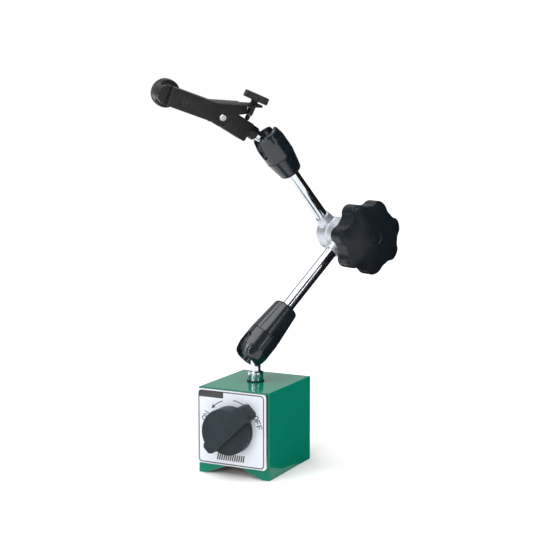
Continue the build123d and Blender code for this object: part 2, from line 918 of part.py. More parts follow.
with BuildPart() as knob_plug:
    with BuildSketch(elbow_plane.offset(knob_top - knob_plug_depth)):
        Circle(knob_plug_radius)
    extrude(amount=knob_plug_depth - 0.4)
finish(knob_plug.part, "knob_plug")

# ---- indicator holder: its own frame leans with the stud and rolls about it
stud_dir = leaning(stud_rise - 90)
holder_up = side_of(stud_rise - 90)
holder_up = (holder_up * math.cos(math.radians(holder_roll))
             + across * math.sin(math.radians(holder_roll)))
holder_far = stud_dir.cross(holder_up)
holder_plane = Plane(ball_two, x_dir=stud_dir, z_dir=holder_far)
stud_axis = Axis(ball_two, stud_dir)
stud_profile = Plane(ball_two, x_dir=holder_up, z_dir=holder_up.cross(stud_dir))


def holder_point(along, height, far=0):
    """Place in the holder's frame."""
    return ball_two + stud_dir * along + holder_up * height + holder_far * far


def front_point(along, height):
    """Along and up in the channel's drooping front part, from the pivot, as holder (x, y)."""
    droop = math.radians(channel_front_droop)
    return (
        pivot_along + along * math.cos(droop) + height * math.sin(droop),
        pivot_up - along * math.sin(droop) + height * math.cos(droop),
    )


with BuildPart() as upper_ball_stud:
    with BuildSketch(stud_profile):
        Polygon(
            (0, 0),
            (stud_neck_radius, 0),
            (stud_neck_radius, stud_neck_length),
            (stud_collar_radius, stud_neck_length + 0.6),
            (stud_collar_radius, boss_start),
            (stud_neck_radius, boss_start),
            (stud_neck_radius, boss_start + stud_thread_length),
            (0, boss_start + stud_thread_length),
            align=None,
        )
    revolve(axis=stud_axis)
    with Locations(ball_two):
        Sphere(ball_radius)
finish(upper_ball_stud.part, "upper_ball_stud")

stud_bore_radius = stud_neck_radius + running_gap / 2
finish(
    turned(
        [
            (stud_bore_radius, boss_start + boss_gap),
            (boss_radius - 0.6, boss_start + boss_gap),
            (boss_radius, boss_start + 0.7),
            (boss_radius, holder_block_start),
            (stud_bore_radius, holder_block_start),
        ],
        stud_profile,
        stud_axis,
    ),
    "stud_lock_nut",
)

slope_start = pivot_along - block_nose_radius - 1.5
with BuildPart() as holder_block:
    with BuildSketch(holder_plane):
        Polygon(
            (holder_block_start, holder_block_bottom),
            (pivot_along, holder_block_bottom),
            (pivot_along, pivot_up + block_nose_radius),
            (slope_start, holder_block_top),
            (holder_block_start, holder_block_top),
            align=None,
        )
        with Locations((pivot_along, pivot_up)):
            Circle(block_nose_radius)
            Circle(pivot_radius, mode=Mode.SUBTRACT)
    extrude(amount=holder_block_width / 2, both=True)
    block_end = holder_block.faces().sort_by(stud_axis)[0]
    chamfer(block_end.edges(), 0.8)
    with BuildSketch(stud_profile):
        with Locations((0, holder_block_start - 1)):
            Rectangle(
                stud_bore_radius,
                boss_start + stud_thread_length + 1.5 - holder_block_start,
                align=(Align.MIN, Align.MIN),
            )
    revolve(axis=stud_axis, mode=Mode.SUBTRACT)
finish(holder_block.part, "holder_block")

# Outline of the channel's two flanges: drooping front, rising tail, rounded behind the pivot
tail = math.radians(channel_tail_slope)
tail_along = (-math.cos(tail), math.sin(tail))
tail_down = (-math.sin(tail), -math.cos(tail))
bend_top = front_point(channel_bend, channel_front_top)
tail_end_top = (
    bend_top[0] + channel_tail_length * tail_along[0],
    bend_top[1] + channel_tail_length * tail_along[1],
)
tail_end_bottom = (
    tail_end_top[0] + channel_tail_depth * tail_down[0],
    tail_end_top[1] + channel_tail_depth * tail_down[1],
)
notch = (pivot_along - block_nose_radius - 2.2, holder_block_top - 0.7)
flange_outline = [
    front_point(channel_front_length, channel_front_bottom),
    front_point(channel_bend + 1, channel_front_bottom),
    (pivot_along, pivot_up - block_nose_radius - 0.5),
    (pivot_along - 4.2, pivot_up - 4.2),
    (pivot_along - 6.0, pivot_up),
    notch,
    tail_end_bottom,
    tail_end_top,
    bend_top,
    front_point(channel_front_length, channel_front_top),
]
bend_below = front_point(channel_bend - 0.3, channel_front_top - channel_wall)
web_outline = [
    front_point(channel_front_length, channel_front_top),
    bend_top,
    tail_end_top,
    (
        tail_end_top[0] + channel_wall * tail_down[0],
        tail_end_top[1] + channel_wall * tail_down[1],
    ),
    bend_below,
    front_point(channel_front_length, channel_front_top - channel_wall),
]
tongue_outline = [
    bend_top,
    (bend_top[0] + tongue_length * tail_along[0], bend_top[1] + tongue_length * tail_along[1]),
    (
        bend_top[0] + tongue_length * tail_along[0] + channel_wall * tail_down[0],
        bend_top[1] + tongue_length * tail_along[1] + channel_wall * tail_down[1],
    ),
    bend_below,
]
channel_outer_half = channel_inner_width / 2 + channel_wall
stem_centre = front_point(stem_bore_along, (channel_front_top + channel_front_bottom) / 2)
clamp_centre = front_point(clamp_screw_along, (channel_front_top + channel_front_bottom) / 2)
rivet_centre = front_point(rivet_along, 0.1)
front_dir = (holder_point(*front_point(1, 0)) - holder_point(*front_point(0, 0))).normalized()
front_up = (holder_point(*front_point(0, 1)) - holder_point(*front_point(0, 0))).normalized()
stem_origin = holder_point(*stem_centre)
stem_plane = Plane(stem_origin, x_dir=front_dir, z_dir=front_up)
adjust = math.radians(adjust_lean)
adjust_dir = stud_dir * math.sin(adjust) + holder_up * math.cos(adjust)
adjust_base = holder_point(adjust_foot_along, holder_block_top)
adjust_axis = Axis(adjust_base, adjust_dir)
adjust_profile = Plane(adjust_base, x_dir=holder_far, z_dir=holder_far.cross(adjust_dir))

with BuildPart() as holder_channel:
    for flange_side in (-1, 1):
        with BuildSketch(holder_plane.offset(flange_side * channel_inner_width / 2)):
            Polygon(*flange_outline, align=None)
        extrude(amount=flange_side * channel_wall)
    with BuildSketch(holder_plane):
        Polygon(*web_outline, align=None)
    extrude(amount=channel_inner_width / 2, both=True)
    with BuildSketch(holder_plane):
        Polygon(*tongue_outline, align=None)
    extrude(amount=tongue_width / 2, both=True)
    # The web stops short of the indicator's stem
    with BuildSketch(stem_plane):
        Circle(stem_radius + stem_web_gap)
    extrude(amount=2 * nose_radius, both=True, mode=Mode.SUBTRACT)
    with BuildSketch(holder_plane):
        with Locations((pivot_along, pivot_up)):
            Circle(pivot_radius + running_gap / 2)
    extrude(amount=2 * channel_outer_half, both=True, mode=Mode.SUBTRACT)
    with BuildSketch(holder_plane):
        with Locations(clamp_centre):
            Circle(clamp_screw_radius + running_gap)
    extrude(amount=2 * channel_outer_half, mode=Mode.SUBTRACT)
    with BuildSketch(holder_plane):
        with Locations(rivet_centre):
            Circle(rivet_radius)
    extrude(amount=-2 * channel_outer_half, mode=Mode.SUBTRACT)
    with BuildSketch(adjust_profile):
        Rectangle(
            adjust_thread_radius + running_gap, adjust_head_up + 10, align=(Align.MIN, Align.MIN)
        )
    revolve(axis=adjust_axis, mode=Mode.SUBTRACT)
finish(holder_channel.part, "holder_channel")


pin_half_length = channel_outer_half + running_gap / 2
with BuildPart() as pivot_pin:
    with BuildSketch(holder_plane):
        with Locations((pivot_along, pivot_up)):
            Circle(pivot_radius)
    extrude(amount=pin_half_length, both=True)
    for pin_end in (-1, 1):
        with BuildSketch(holder_plane.offset(pin_end * pin_half_length)):
            with Locations((pivot_along, pivot_up)):
                Circle(pin_head_radius)
        extrude(amount=pin_end * pin_head_height, taper=35)
finish(pivot_pin.part, "pivot_pin")

# Stem block between the flanges, split so that the clamp screw closes it on the stem
stem_side_plane = Plane(stem_origin, x_dir=front_dir, z_dir=holder_far)
channel_front_height = channel_front_top - channel_front_bottom
stem_back = stem_block_start - stem_bore_along
flange_end = channel_front_length - stem_bore_along
with BuildPart() as stem_block:
    with BuildSketch(stem_side_plane):
        Polygon(
            (stem_back, -channel_front_height / 2 + 0.3),
            (flange_end, -channel_front_height / 2 + 0.3),
            (flange_end, channel_front_height / 2 - channel_wall - stem_block_gap),
            (stem_back, channel_front_height / 2 - channel_wall - stem_block_gap),
            align=None,
        )
    extrude(amount=channel_inner_width / 2, both=True)
    with BuildSketch(stem_side_plane) as nose_sketch:
        Circle(nose_radius)
        with Locations((stem_back / 2, 0)):
            Rectangle(-stem_back, 4 * nose_radius, mode=Mode.SUBTRACT)
        with Locations((flange_end, 0)):
            Rectangle(-flange_end, 2 * nose_radius, align=(Align.MIN, Align.CENTER))
    extrude(amount=nose_width / 2, both=True)
    with BuildSketch(stem_plane):
        Circle(stem_radius)
    extrude(amount=2 * nose_radius, both=True, mode=Mode.SUBTRACT)
    with BuildSketch(stem_plane):
        Rectangle(-2 * stem_back, stem_slot, align=(Align.MAX, Align.CENTER))
    extrude(amount=2 * nose_radius, both=True, mode=Mode.SUBTRACT)
    with BuildSketch(holder_plane):
        with Locations(clamp_centre):
            Circle(clamp_screw_radius + running_gap)
    extrude(amount=channel_inner_width, both=True, mode=Mode.SUBTRACT)
    with BuildSketch(holder_plane):
        with Locations(rivet_centre):
            Circle(rivet_radius)
    extrude(amount=-channel_inner_width, mode=Mode.SUBTRACT)
finish(stem_block.part, "stem_block")

with BuildPart() as stem_block_rivet:
    with BuildSketch(holder_plane.offset(-stem_slot / 2)):
        with Locations(rivet_centre):
            Circle(rivet_radius)
    extrude(amount=stem_slot / 2 - channel_outer_half)
    with BuildSketch(holder_plane.offset(-channel_outer_half)):
        with Locations(rivet_centre):
            Circle(rivet_head_radius)
    extrude(amount=-rivet_head_height)
finish(stem_block_rivet.part, "stem_block_rivet")

# Leaf spring on the block's sloping top, its free end under the channel's web
spring_root = (slope_start + 0.8, holder_block_top - 0.1)
spring_knee = (pivot_along, pivot_up + block_nose_radius + 0.1)
spring_tip = front_point(
    spring_reach, channel_front_top - channel_wall - spring_gap - spring_thickness
)
spring_clear_radius = block_nose_radius + 0.1
tip_from_pivot = (spring_tip[0] - pivot_along, spring_tip[1] - pivot_up)
leave_angle = math.atan2(tip_from_pivot[1], tip_from_pivot[0]) + math.acos(
    spring_clear_radius / math.hypot(*tip_from_pivot)
)
spring_leave = (
    pivot_along + spring_clear_radius * math.cos(leave_angle),
    pivot_up + spring_clear_radius * math.sin(leave_angle),
)
with BuildPart() as leaf_spring:
    with BuildSketch(holder_plane):
        Polygon(
            spring_root,
            spring_knee,
            spring_leave,
            spring_tip,
            (spring_tip[0], spring_tip[1] + spring_thickness),
            (spring_leave[0], spring_leave[1] + spring_thickness),
            (spring_knee[0], spring_knee[1] + spring_thickness),
            (spring_root[0], spring_root[1] + spring_thickness),
            align=None,
        )
    extrude(amount=spring_width / 2, both=True)
finish(leaf_spring.part, "leaf_spring")


# ---- fine-adjust screw: a knurled head, a thread through the tongue and a swivel tip
def knurled_disc(plane, radius, height, flutes):
    """Disc with rounded rims and fine flutes round its edge."""
    with BuildPart() as disc:
        with BuildSketch(plane):
            Circle(radius)
            with PolarLocations(radius + flute_radius / 3, flutes):
                Circle(flute_radius, mode=Mode.SUBTRACT)
        extrude(amount=height)
    return disc.part


adjust_head_plane = Plane(adjust_base, x_dir=holder_far, z_dir=adjust_dir).offset(
    adjust_head_up - holder_block_top
)
adjust_thread_start = adjust_tip_length + adjust_contact_gap
finish(
    turned(
        [
            (0, adjust_contact_gap),
            (adjust_tip_radius - 0.9, adjust_contact_gap),
            (adjust_tip_radius, adjust_contact_gap + 0.7),
            (adjust_tip_radius, adjust_thread_start),
            (0, adjust_thread_start),
        ],
        adjust_profile,
        adjust_axis,
    ),
    "adjust_tip",
)
finish(
    turned(
        [
            (0, adjust_thread_start + running_gap),
            (adjust_thread_radius - 0.5, adjust_thread_start + running_gap),
            (adjust_thread_radius, adjust_thread_start + 0.6),
            (adjust_thread_radius, adjust_head_up - holder_block_top),
            (0, adjust_head_up - holder_block_top),
        ],
        adjust_profile,
        adjust_axis,
    ),
    "adjust_screw",
)
finish(
    knurled_disc(adjust_head_plane, adjust_head_radius, adjust_head_height, adjust_flutes),
    "adjust_head",
)

# ---- stem clamp: washer, screw and knurled knob on the far side
clamp_washer_start = channel_outer_half + running_gap
clamp_washer_end = clamp_washer_start + clamp_washer_thickness
clamp_knob_start = clamp_washer_end + clamp_knob_boss_height
clamp_origin = holder_point(*clamp_centre)
clamp_plane = Plane(clamp_origin, x_dir=front_dir, z_dir=holder_far)

with BuildPart() as clamp_washer:
    with BuildSketch(clamp_plane.offset(clamp_washer_start)):
        Circle(clamp_washer_radius)
        Circle(clamp_screw_radius + running_gap, mode=Mode.SUBTRACT)
    extrude(amount=clamp_washer_thickness)
finish(clamp_washer.part, "clamp_washer")

with BuildPart() as clamp_screw:
    with BuildSketch(clamp_plane.offset(0.4 - channel_inner_width / 2)):
        Circle(clamp_screw_radius)
    extrude(amount=clamp_knob_start + clamp_knob_height / 2 + channel_inner_width / 2 - 0.4)
finish(clamp_screw.part, "clamp_screw")

with BuildPart() as clamp_knob:
    knob_disc_plane = clamp_plane.offset(clamp_knob_start)
    add(knurled_disc(knob_disc_plane, clamp_knob_radius, clamp_knob_height, clamp_flutes))
    with BuildSketch(clamp_plane.offset(clamp_washer_end)):
        Circle(clamp_knob_boss_radius)
    extrude(amount=clamp_knob_boss_height)
    with BuildSketch(clamp_plane.offset(clamp_washer_end)):
        Circle(clamp_screw_radius)
    extrude(amount=clamp_knob_boss_height + clamp_knob_height / 2, mode=Mode.SUBTRACT)
finish(clamp_knob.part, "clamp_knob")

print(len(finished), "pieces written")
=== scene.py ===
import json
import math

import bmesh
import bpy
from mathutils import Matrix, Vector

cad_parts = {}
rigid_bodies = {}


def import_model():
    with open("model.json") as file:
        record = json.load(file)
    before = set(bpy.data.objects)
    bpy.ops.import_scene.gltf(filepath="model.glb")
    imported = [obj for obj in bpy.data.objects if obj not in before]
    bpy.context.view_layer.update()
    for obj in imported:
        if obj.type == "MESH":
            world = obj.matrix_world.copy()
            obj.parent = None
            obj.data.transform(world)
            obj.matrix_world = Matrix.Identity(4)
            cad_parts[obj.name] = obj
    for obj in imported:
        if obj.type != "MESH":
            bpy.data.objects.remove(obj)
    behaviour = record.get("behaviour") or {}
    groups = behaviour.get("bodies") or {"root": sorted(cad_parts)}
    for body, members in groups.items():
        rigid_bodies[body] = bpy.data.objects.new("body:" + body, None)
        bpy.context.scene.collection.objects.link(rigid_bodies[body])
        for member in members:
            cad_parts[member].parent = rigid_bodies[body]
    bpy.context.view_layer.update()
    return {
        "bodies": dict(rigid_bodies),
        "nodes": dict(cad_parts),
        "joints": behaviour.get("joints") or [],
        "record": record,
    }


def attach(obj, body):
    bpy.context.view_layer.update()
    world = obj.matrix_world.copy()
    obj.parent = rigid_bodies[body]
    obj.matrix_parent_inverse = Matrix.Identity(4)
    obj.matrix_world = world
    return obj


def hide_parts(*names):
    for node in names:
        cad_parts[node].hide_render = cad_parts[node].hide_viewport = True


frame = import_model()
nodes = frame["nodes"]
joints = {joint["name"]: joint for joint in frame["joints"]}
record = frame["record"]
bodies = record["behaviour"]["bodies"]
bodyOf = {node: body for body, members in bodies.items() for node in members}
slotOf = {entry["node"]: entry["material_slot"] for entry in record["subparts"]}
mm = 0.001
print("frame loaded:", len(nodes), "nodes")


def jointPlace(name):
    return Vector(joints[name]["pos_m"])


def jointAxis(name):
    return Vector(joints[name]["axis"]).normalized()


# The points and directions that new pieces are placed by, all from the stand's joints
elbow = jointPlace("elbow_turn")
elbowOut = jointAxis("knob_turn")
holderFar = jointAxis("stem_clamp_travel")
clampCentre = jointPlace("stem_clamp_turn")
adjustUp = -jointAxis("fine_screw_turn")
adjustFoot = jointPlace("fine_screw_turn")
up = Vector((0, 0, 1))


view = {
    "azimuth": 26.8,  # degrees to the right of straight on
    "elevation": 6.63,
    "distance": 0.7965,
    "aimHeight": 0.129,
    "aimRight": 0.00699,
    "lens": 84.7,
    "sensor": 36,
    "nearest": 0.01,
}

# Lights and the sun are placed by angle round from the camera, distance and height
studio = {
    "floorSize": 8.0,
    "floorDrop": 0.1 * mm,
    "floorTone": 0.94,
    "backdropLight": 1.0,
    "roomLight": 0.60,
    "overheadLight": 2.7,
    "overheadSoftness": 70,  # degrees
    "overheadPlace": (-50, 0.35, 1.0),
    "cardRadius": 1.6,
    "cardLow": -0.25,
    "cardHigh": 1.9,
    "cardSteps": 24,
    "cardSpans": [(-118, -74, 0.01), (-33, 56, 0.16), (56, 175, 0.01)],  # from, to, how grey
    "floorCardSpan": (60, 190),
    "floorCardNear": 0.03,
    "floorCardFar": 1.6,
    "floorCardLift": 0.1 * mm,
    "floorCardSteps": 12,
    "floorCardTone": 0.01,
    "lightAim": (0, 0, 0.13),
    "softLights": {  # place, width and height, watts
        "leftSoftbox": ((-50, 1.25, 0.5), (0.06, 1.1), 3.0),
        "frontStrip": ((-24, 1.3, 0.45), (0.035, 1.0), 1.8),
        "rightStrip": ((40, 1.3, 0.4), (0.05, 0.9), 1.0),
    },
}


def around(angle, distance, height):
    # The angle is in degrees from the camera's own side, positive to its right
    turn = math.radians(view["azimuth"] + angle)
    return Vector((math.sin(turn) * distance, -math.cos(turn) * distance, height))


def addCamera():
    turn = math.radians(view["azimuth"])
    lift = math.radians(view["elevation"])
    right = Vector((math.cos(turn), math.sin(turn), 0))
    level = math.cos(lift)
    back = Vector((math.sin(turn) * level, -math.cos(turn) * level, math.sin(lift)))
    data = bpy.data.cameras.new("camera")
    data.lens = view["lens"]
    data.sensor_width = view["sensor"]
    data.clip_start = view["nearest"]
    camera = bpy.data.objects.new("camera", data)
    bpy.context.scene.collection.objects.link(camera)
    aim = right * view["aimRight"] + up * view["aimHeight"]
    camera.location = aim + back * view["distance"]
    camera.rotation_euler = (-back).to_track_quat("-Z", "Y").to_euler()
    bpy.context.scene.camera = camera


def placeLight(name, centre, aim, size, power):
    data = bpy.data.lights.new(name, "AREA")
    data.shape = "RECTANGLE"
    data.size, data.size_y = size
    data.energy = power
    light = bpy.data.objects.new(name, data)
    bpy.context.scene.collection.objects.link(light)
    light.location = centre
    light.rotation_euler = (Vector(aim) - Vector(centre)).to_track_quat("-Z", "Y").to_euler()


def stageMesh(name, verts, faces, material):
    mesh = bpy.data.meshes.new(name)
    mesh.from_pydata([tuple(v) for v in verts], [], faces)
    mesh.materials.append(material)
    prop = bpy.data.objects.new(name, mesh)
    bpy.context.scene.collection.objects.link(prop)
    return prop


def onlyInReflections(prop):
    prop.visible_camera = False
    prop.visible_shadow = False
    prop.visible_diffuse = False


def fan(span, steps, innerEdge, outerEdge):
    # A strip that goes round from one angle to another; each edge is a distance and a height
    start, end = span
    verts = []
    for i in range(steps + 1):
        angle = start + (end - start) * i / steps
        verts += [around(angle, *innerEdge), around(angle, *outerEdge)]
    faces = [(2 * i, 2 * i + 1, 2 * i + 3, 2 * i + 2) for i in range(steps)]
    return verts, faces


def addStudio():
    world = bpy.data.worlds.new("paleRoom")
    bpy.context.scene.world = world
    world.use_nodes = True
    tree = world.node_tree
    background = tree.nodes["Background"]
    background.inputs["Color"].default_value = (1, 1, 1, 1)
    rays = tree.nodes.new("ShaderNodeLightPath")
    # The backdrop is brighter than the light it gives
    strength = tree.nodes.new("ShaderNodeMapRange")
    strength.inputs["To Min"].default_value = studio["roomLight"]
    strength.inputs["To Max"].default_value = studio["backdropLight"]
    tree.links.new(rays.outputs["Is Camera Ray"], strength.inputs["Value"])
    tree.links.new(strength.outputs["Result"], background.inputs["Strength"])

    sun = bpy.data.lights.new("overheadLight", "SUN")
    sun.energy = studio["overheadLight"]
    sun.angle = math.radians(studio["overheadSoftness"])
    overhead = bpy.data.objects.new("overheadLight", sun)
    bpy.context.scene.collection.objects.link(overhead)
    downwards = -around(*studio["overheadPlace"])
    overhead.rotation_euler = downwards.to_track_quat("-Z", "Y").to_euler()

    half = studio["floorSize"] / 2
    corners = [(-half, -half, 0), (half, -half, 0), (half, half, 0), (-half, half, 0)]
    floor = stageMesh("floor", corners, [(0, 1, 2, 3)], paleFloor())
    floor.location.z = -studio["floorDrop"]

    # Cards that only reflections see give chrome and lacquer their dark bands
    radius = studio["cardRadius"]
    for number, (start, end, grey) in enumerate(studio["cardSpans"]):
        low, high = (radius, studio["cardLow"]), (radius, studio["cardHigh"])
        verts, faces = fan((start, end), studio["cardSteps"], low, high)
        card = greyCard(f"greyCard{number}", grey)
        onlyInReflections(stageMesh(f"darkCard{number}", verts, faces, card))
    near = (studio["floorCardNear"], studio["floorCardLift"])
    far = (studio["floorCardFar"], studio["floorCardLift"])
    verts, faces = fan(studio["floorCardSpan"], studio["floorCardSteps"], near, far)
    card = greyCard("floorCard", studio["floorCardTone"])
    onlyInReflections(stageMesh("darkFloorCard", verts, faces, card))

    for name, (place, size, power) in studio["softLights"].items():
        placeLight(name, around(*place), studio["lightAim"], size, power)


def startMaterial(name, colour, roughness, metallic=0.0):
    material = bpy.data.materials.new(name)
    material.use_nodes = True
    tree = material.node_tree
    shader = tree.nodes["Principled BSDF"]
    shader.inputs["Base Color"].default_value = (*colour, 1)
    shader.inputs["Roughness"].default_value = roughness
    shader.inputs["Metallic"].default_value = metallic
    return material, tree, shader


def piecePlace(tree, stretch=(1, 1, 1)):
    place = tree.nodes.new("ShaderNodeTexCoord")
    mapping = tree.nodes.new("ShaderNodeMapping")
    mapping.inputs["Scale"].default_value = stretch
    tree.links.new(place.outputs["Object"], mapping.inputs["Vector"])
    return mapping.outputs["Vector"]


def mottle(tree, vector, size, detail=3.0, roughness=0.5):
    # Noise whose blotches are about size metres across
    noise = tree.nodes.new("ShaderNodeTexNoise")
    noise.inputs["Scale"].default_value = 1 / size
    noise.inputs["Detail"].default_value = detail
    noise.inputs["Roughness"].default_value = roughness
    tree.links.new(vector, noise.inputs["Vector"])
    return noise.outputs["Fac"]


def spread(tree, value, low, high, fromLow=0.3, fromHigh=0.7):
    reach = tree.nodes.new("ShaderNodeMapRange")
    reach.inputs["From Min"].default_value = fromLow
    reach.inputs["From Max"].default_value = fromHigh
    reach.inputs["To Min"].default_value = low
    reach.inputs["To Max"].default_value = high
    tree.links.new(value, reach.inputs["Value"])
    return reach.outputs["Result"]


def reckon(tree, operation, first, second=0.0):
    # One arithmetic node; each side is a number or a socket
    node = tree.nodes.new("ShaderNodeMath")
    node.operation = operation
    for socket, value in zip(node.inputs, (first, second)):
        if isinstance(value, (int, float)):
            socket.default_value = value
        else:
            tree.links.new(value, socket)
    return node.outputs["Value"]


def mixColours(tree, amount, first, second):
    mixer = tree.nodes.new("ShaderNodeMix")
    mixer.data_type = "RGBA"
    tree.links.new(amount, mixer.inputs["Factor"])
    for socket, value in ((mixer.inputs["A"], first), (mixer.inputs["B"], second)):
        if isinstance(value, tuple):
            socket.default_value = (*value, 1)
        else:
            tree.links.new(value, socket)
    return mixer.outputs["Result"]


def addBump(tree, shader, height, distance, strength=0.6):
    bump = tree.nodes.new("ShaderNodeBump")
    bump.inputs["Strength"].default_value = strength
    bump.inputs["Distance"].default_value = distance
    tree.links.new(height, bump.inputs["Height"])
    tree.links.new(bump.outputs["Normal"], shader.inputs["Normal"])


def edgeWear(tree, radius, gain):
    # 1 on outside edges and 0 on flats, from how far a rounded normal leaves the true one
    bevel = tree.nodes.new("ShaderNodeBevel")
    bevel.inputs["Radius"].default_value = radius
    geometry = tree.nodes.new("ShaderNodeNewGeometry")
    dot = tree.nodes.new("ShaderNodeVectorMath")
    dot.operation = "DOT_PRODUCT"
    tree.links.new(bevel.outputs["Normal"], dot.inputs[0])
    tree.links.new(geometry.outputs["Normal"], dot.inputs[1])
    away = reckon(tree, "SUBTRACT", 1.0, dot.outputs["Value"])
    return spread(tree, reckon(tree, "MULTIPLY", away, gain), 0, 1, 0, 1)


def clouded(tree, place, size, shades, detail=3.0):
    # A colour that drifts between two shades, in blotches of about this size
    return mixColours(tree, spread(tree, mottle(tree, place, size, detail), 0, 1), *shades)


def setRoughness(tree, shader, place, size, reach, detail=3.0):
    rough = spread(tree, mottle(tree, place, size, detail), *reach)
    tree.links.new(rough, shader.inputs["Roughness"])


def paleFloor():
    material, tree, shader = startMaterial("paleFloor", (studio["floorTone"],) * 3, 0.7)
    setRoughness(tree, shader, piecePlace(tree), 0.02, (0.65, 0.75))
    shader.inputs["Specular IOR Level"].default_value = 0.2
    return material


def greyCard(name, grey):
    material, tree, shader = startMaterial(name, (grey, grey, grey), 1.0)
    setRoughness(tree, shader, piecePlace(tree), 0.05, (0.9, 1.0))
    shader.inputs["Specular IOR Level"].default_value = 0.0
    return material


enamel = {
    "green": (0.0, 0.190, 0.118),
    "deepGreen": (0.0, 0.174, 0.106),
    "driftSize": 12 * mm,
    "gloss": (0.09, 0.16),
    "glossSize": 6 * mm,
    "specular": 0.22,
    "peelSize": 2.2 * mm,
    "peelDepth": 0.012 * mm,
    "peelStrength": 0.4,
    "bareSteel": (0.45, 0.45, 0.46),
    "bareSteelDark": (0.30, 0.30, 0.31),
    "bareRougher": 0.28,  # added where there is no paint
    "grindingSize": 6 * mm,
    "grindingStretch": (30, 1, 1),
    "grooveHalf": 20 * mm,
    "grooveDepth": 8 * mm,
    "paintStarts": 0.08 * mm,  # above the faces that touch the work
}


def greenEnamel():
    # Gloss enamel; the two poles and the groove's faces are left as ground steel
    e = enamel
    material, tree, shader = startMaterial("greenEnamel", e["green"], 0.12)
    place = piecePlace(tree)
    split = tree.nodes.new("ShaderNodeSeparateXYZ")
    tree.links.new(place, split.inputs["Vector"])
    side = reckon(tree, "ABSOLUTE", split.outputs["X"])
    rise = reckon(tree, "SUBTRACT", 1.0, reckon(tree, "DIVIDE", side, e["grooveHalf"]))
    groove = reckon(tree, "MULTIPLY", rise, e["grooveDepth"])
    workingFace = reckon(tree, "ADD", reckon(tree, "MAXIMUM", groove, 0.0), e["paintStarts"])
    bare = reckon(tree, "LESS_THAN", split.outputs["Z"], workingFace)
    paint = clouded(tree, place, e["driftSize"], (e["green"], e["deepGreen"]))
    grindingPlace = piecePlace(tree, e["grindingStretch"])
    steels = (e["bareSteel"], e["bareSteelDark"])
    ground = clouded(tree, grindingPlace, e["grindingSize"], steels, 4)
    tree.links.new(mixColours(tree, bare, paint, ground), shader.inputs["Base Color"])
    tree.links.new(bare, shader.inputs["Metallic"])
    paintRough = spread(tree, mottle(tree, place, e["glossSize"]), *e["gloss"])
    bareRough = reckon(tree, "MULTIPLY", bare, e["bareRougher"])
    tree.links.new(reckon(tree, "ADD", paintRough, bareRough), shader.inputs["Roughness"])
    shader.inputs["Specular IOR Level"].default_value = e["specular"]
    peel = mottle(tree, place, e["peelSize"], 2)
    addBump(tree, shader, peel, e["peelDepth"], e["peelStrength"])
    return material


def finishFrom(name, look):
    # Colour and gloss drift in soft blotches over a fine grain, and worn edges show through
    colour, roughness, metallic = look["base"]
    material, tree, shader = startMaterial(name, colour, roughness, metallic)
    place = piecePlace(tree)
    surface = clouded(tree, place, look["cloudSize"], look["shades"], look.get("cloudDetail", 3))
    if "worn" in look:
        patches = spread(tree, mottle(tree, place, *look["patches"]), *look["patchReach"])
        worn = reckon(tree, "MULTIPLY", edgeWear(tree, *look["wornEdge"]), patches)
        surface = mixColours(tree, worn, surface, look["worn"])
        if "wornMetallic" in look:
            shine = reckon(tree, "MULTIPLY", worn, look["wornMetallic"])
            tree.links.new(shine, shader.inputs["Metallic"])
    tree.links.new(surface, shader.inputs["Base Color"])
    detail = look.get("glossDetail", 3)
    setRoughness(tree, shader, place, look["glossSize"], look["gloss"], detail)
    if "specular" in look:
        shader.inputs["Specular IOR Level"].default_value = look["specular"]
    grain = mottle(tree, place, look["grainSize"], look.get("grainDetail", 2))
    addBump(tree, shader, grain, look["grainDepth"], look["grainStrength"])
    return material


# In each finish, base is the plain colour, roughness and how metallic it is
glossLacquer = {
    "base": ((0.005, 0.009, 0.013), 0.28, 0.0),
    "shades": ((0.004, 0.008, 0.012), (0.008, 0.014, 0.019)),
    "cloudSize": 9 * mm,
    "gloss": (0.15, 0.21),
    "glossSize": 3 * mm,
    "specular": 0.65,
    "grainSize": 1.4 * mm,
    "grainDepth": 0.01 * mm,
    "grainStrength": 0.35,
}
polishedChrome = {
    "base": ((0.80, 0.82, 0.86), 0.1, 1.0),
    "shades": ((0.70, 0.73, 0.78), (0.60, 0.63, 0.68)),
    "cloudSize": 6 * mm,
    "gloss": (0.09, 0.16),
    "glossSize": 3 * mm,
    "glossDetail": 4,
    "grainSize": 0.8 * mm,
    "grainDetail": 3,
    "grainDepth": 0.004 * mm,
    "grainStrength": 0.3,
}
satinChrome = {
    "base": ((0.62, 0.65, 0.70), 0.45, 0.85),
    "shades": ((0.64, 0.67, 0.73), (0.56, 0.59, 0.64)),
    "cloudSize": 4 * mm,
    "gloss": (0.38, 0.52),
    "glossSize": 1.2 * mm,
    "glossDetail": 4,
    "grainSize": 0.2 * mm,
    "grainDepth": 0.01 * mm,
    "grainStrength": 0.4,
}
blackOxide = {
    "base": ((0.005, 0.0055, 0.0065), 0.4, 0.0),
    "shades": ((0.004, 0.0045, 0.0055), (0.008, 0.0085, 0.0095)),
    "cloudSize": 6 * mm,
    "worn": (0.22, 0.225, 0.23),  # rubbed to grey steel
    "wornEdge": (0.45 * mm, 6),  # how wide, how strong
    "wornMetallic": 0.7,
    "patches": (2.5 * mm, 4, 0.6),  # size, detail, roughness
    "patchReach": (0.15, 1, 0.40, 0.60),
    "gloss": (0.32, 0.48),
    "glossSize": 1.5 * mm,
    "specular": 0.3,
    "grainSize": 0.5 * mm,
    "grainDetail": 3,
    "grainDepth": 0.015 * mm,
    "grainStrength": 0.5,
}
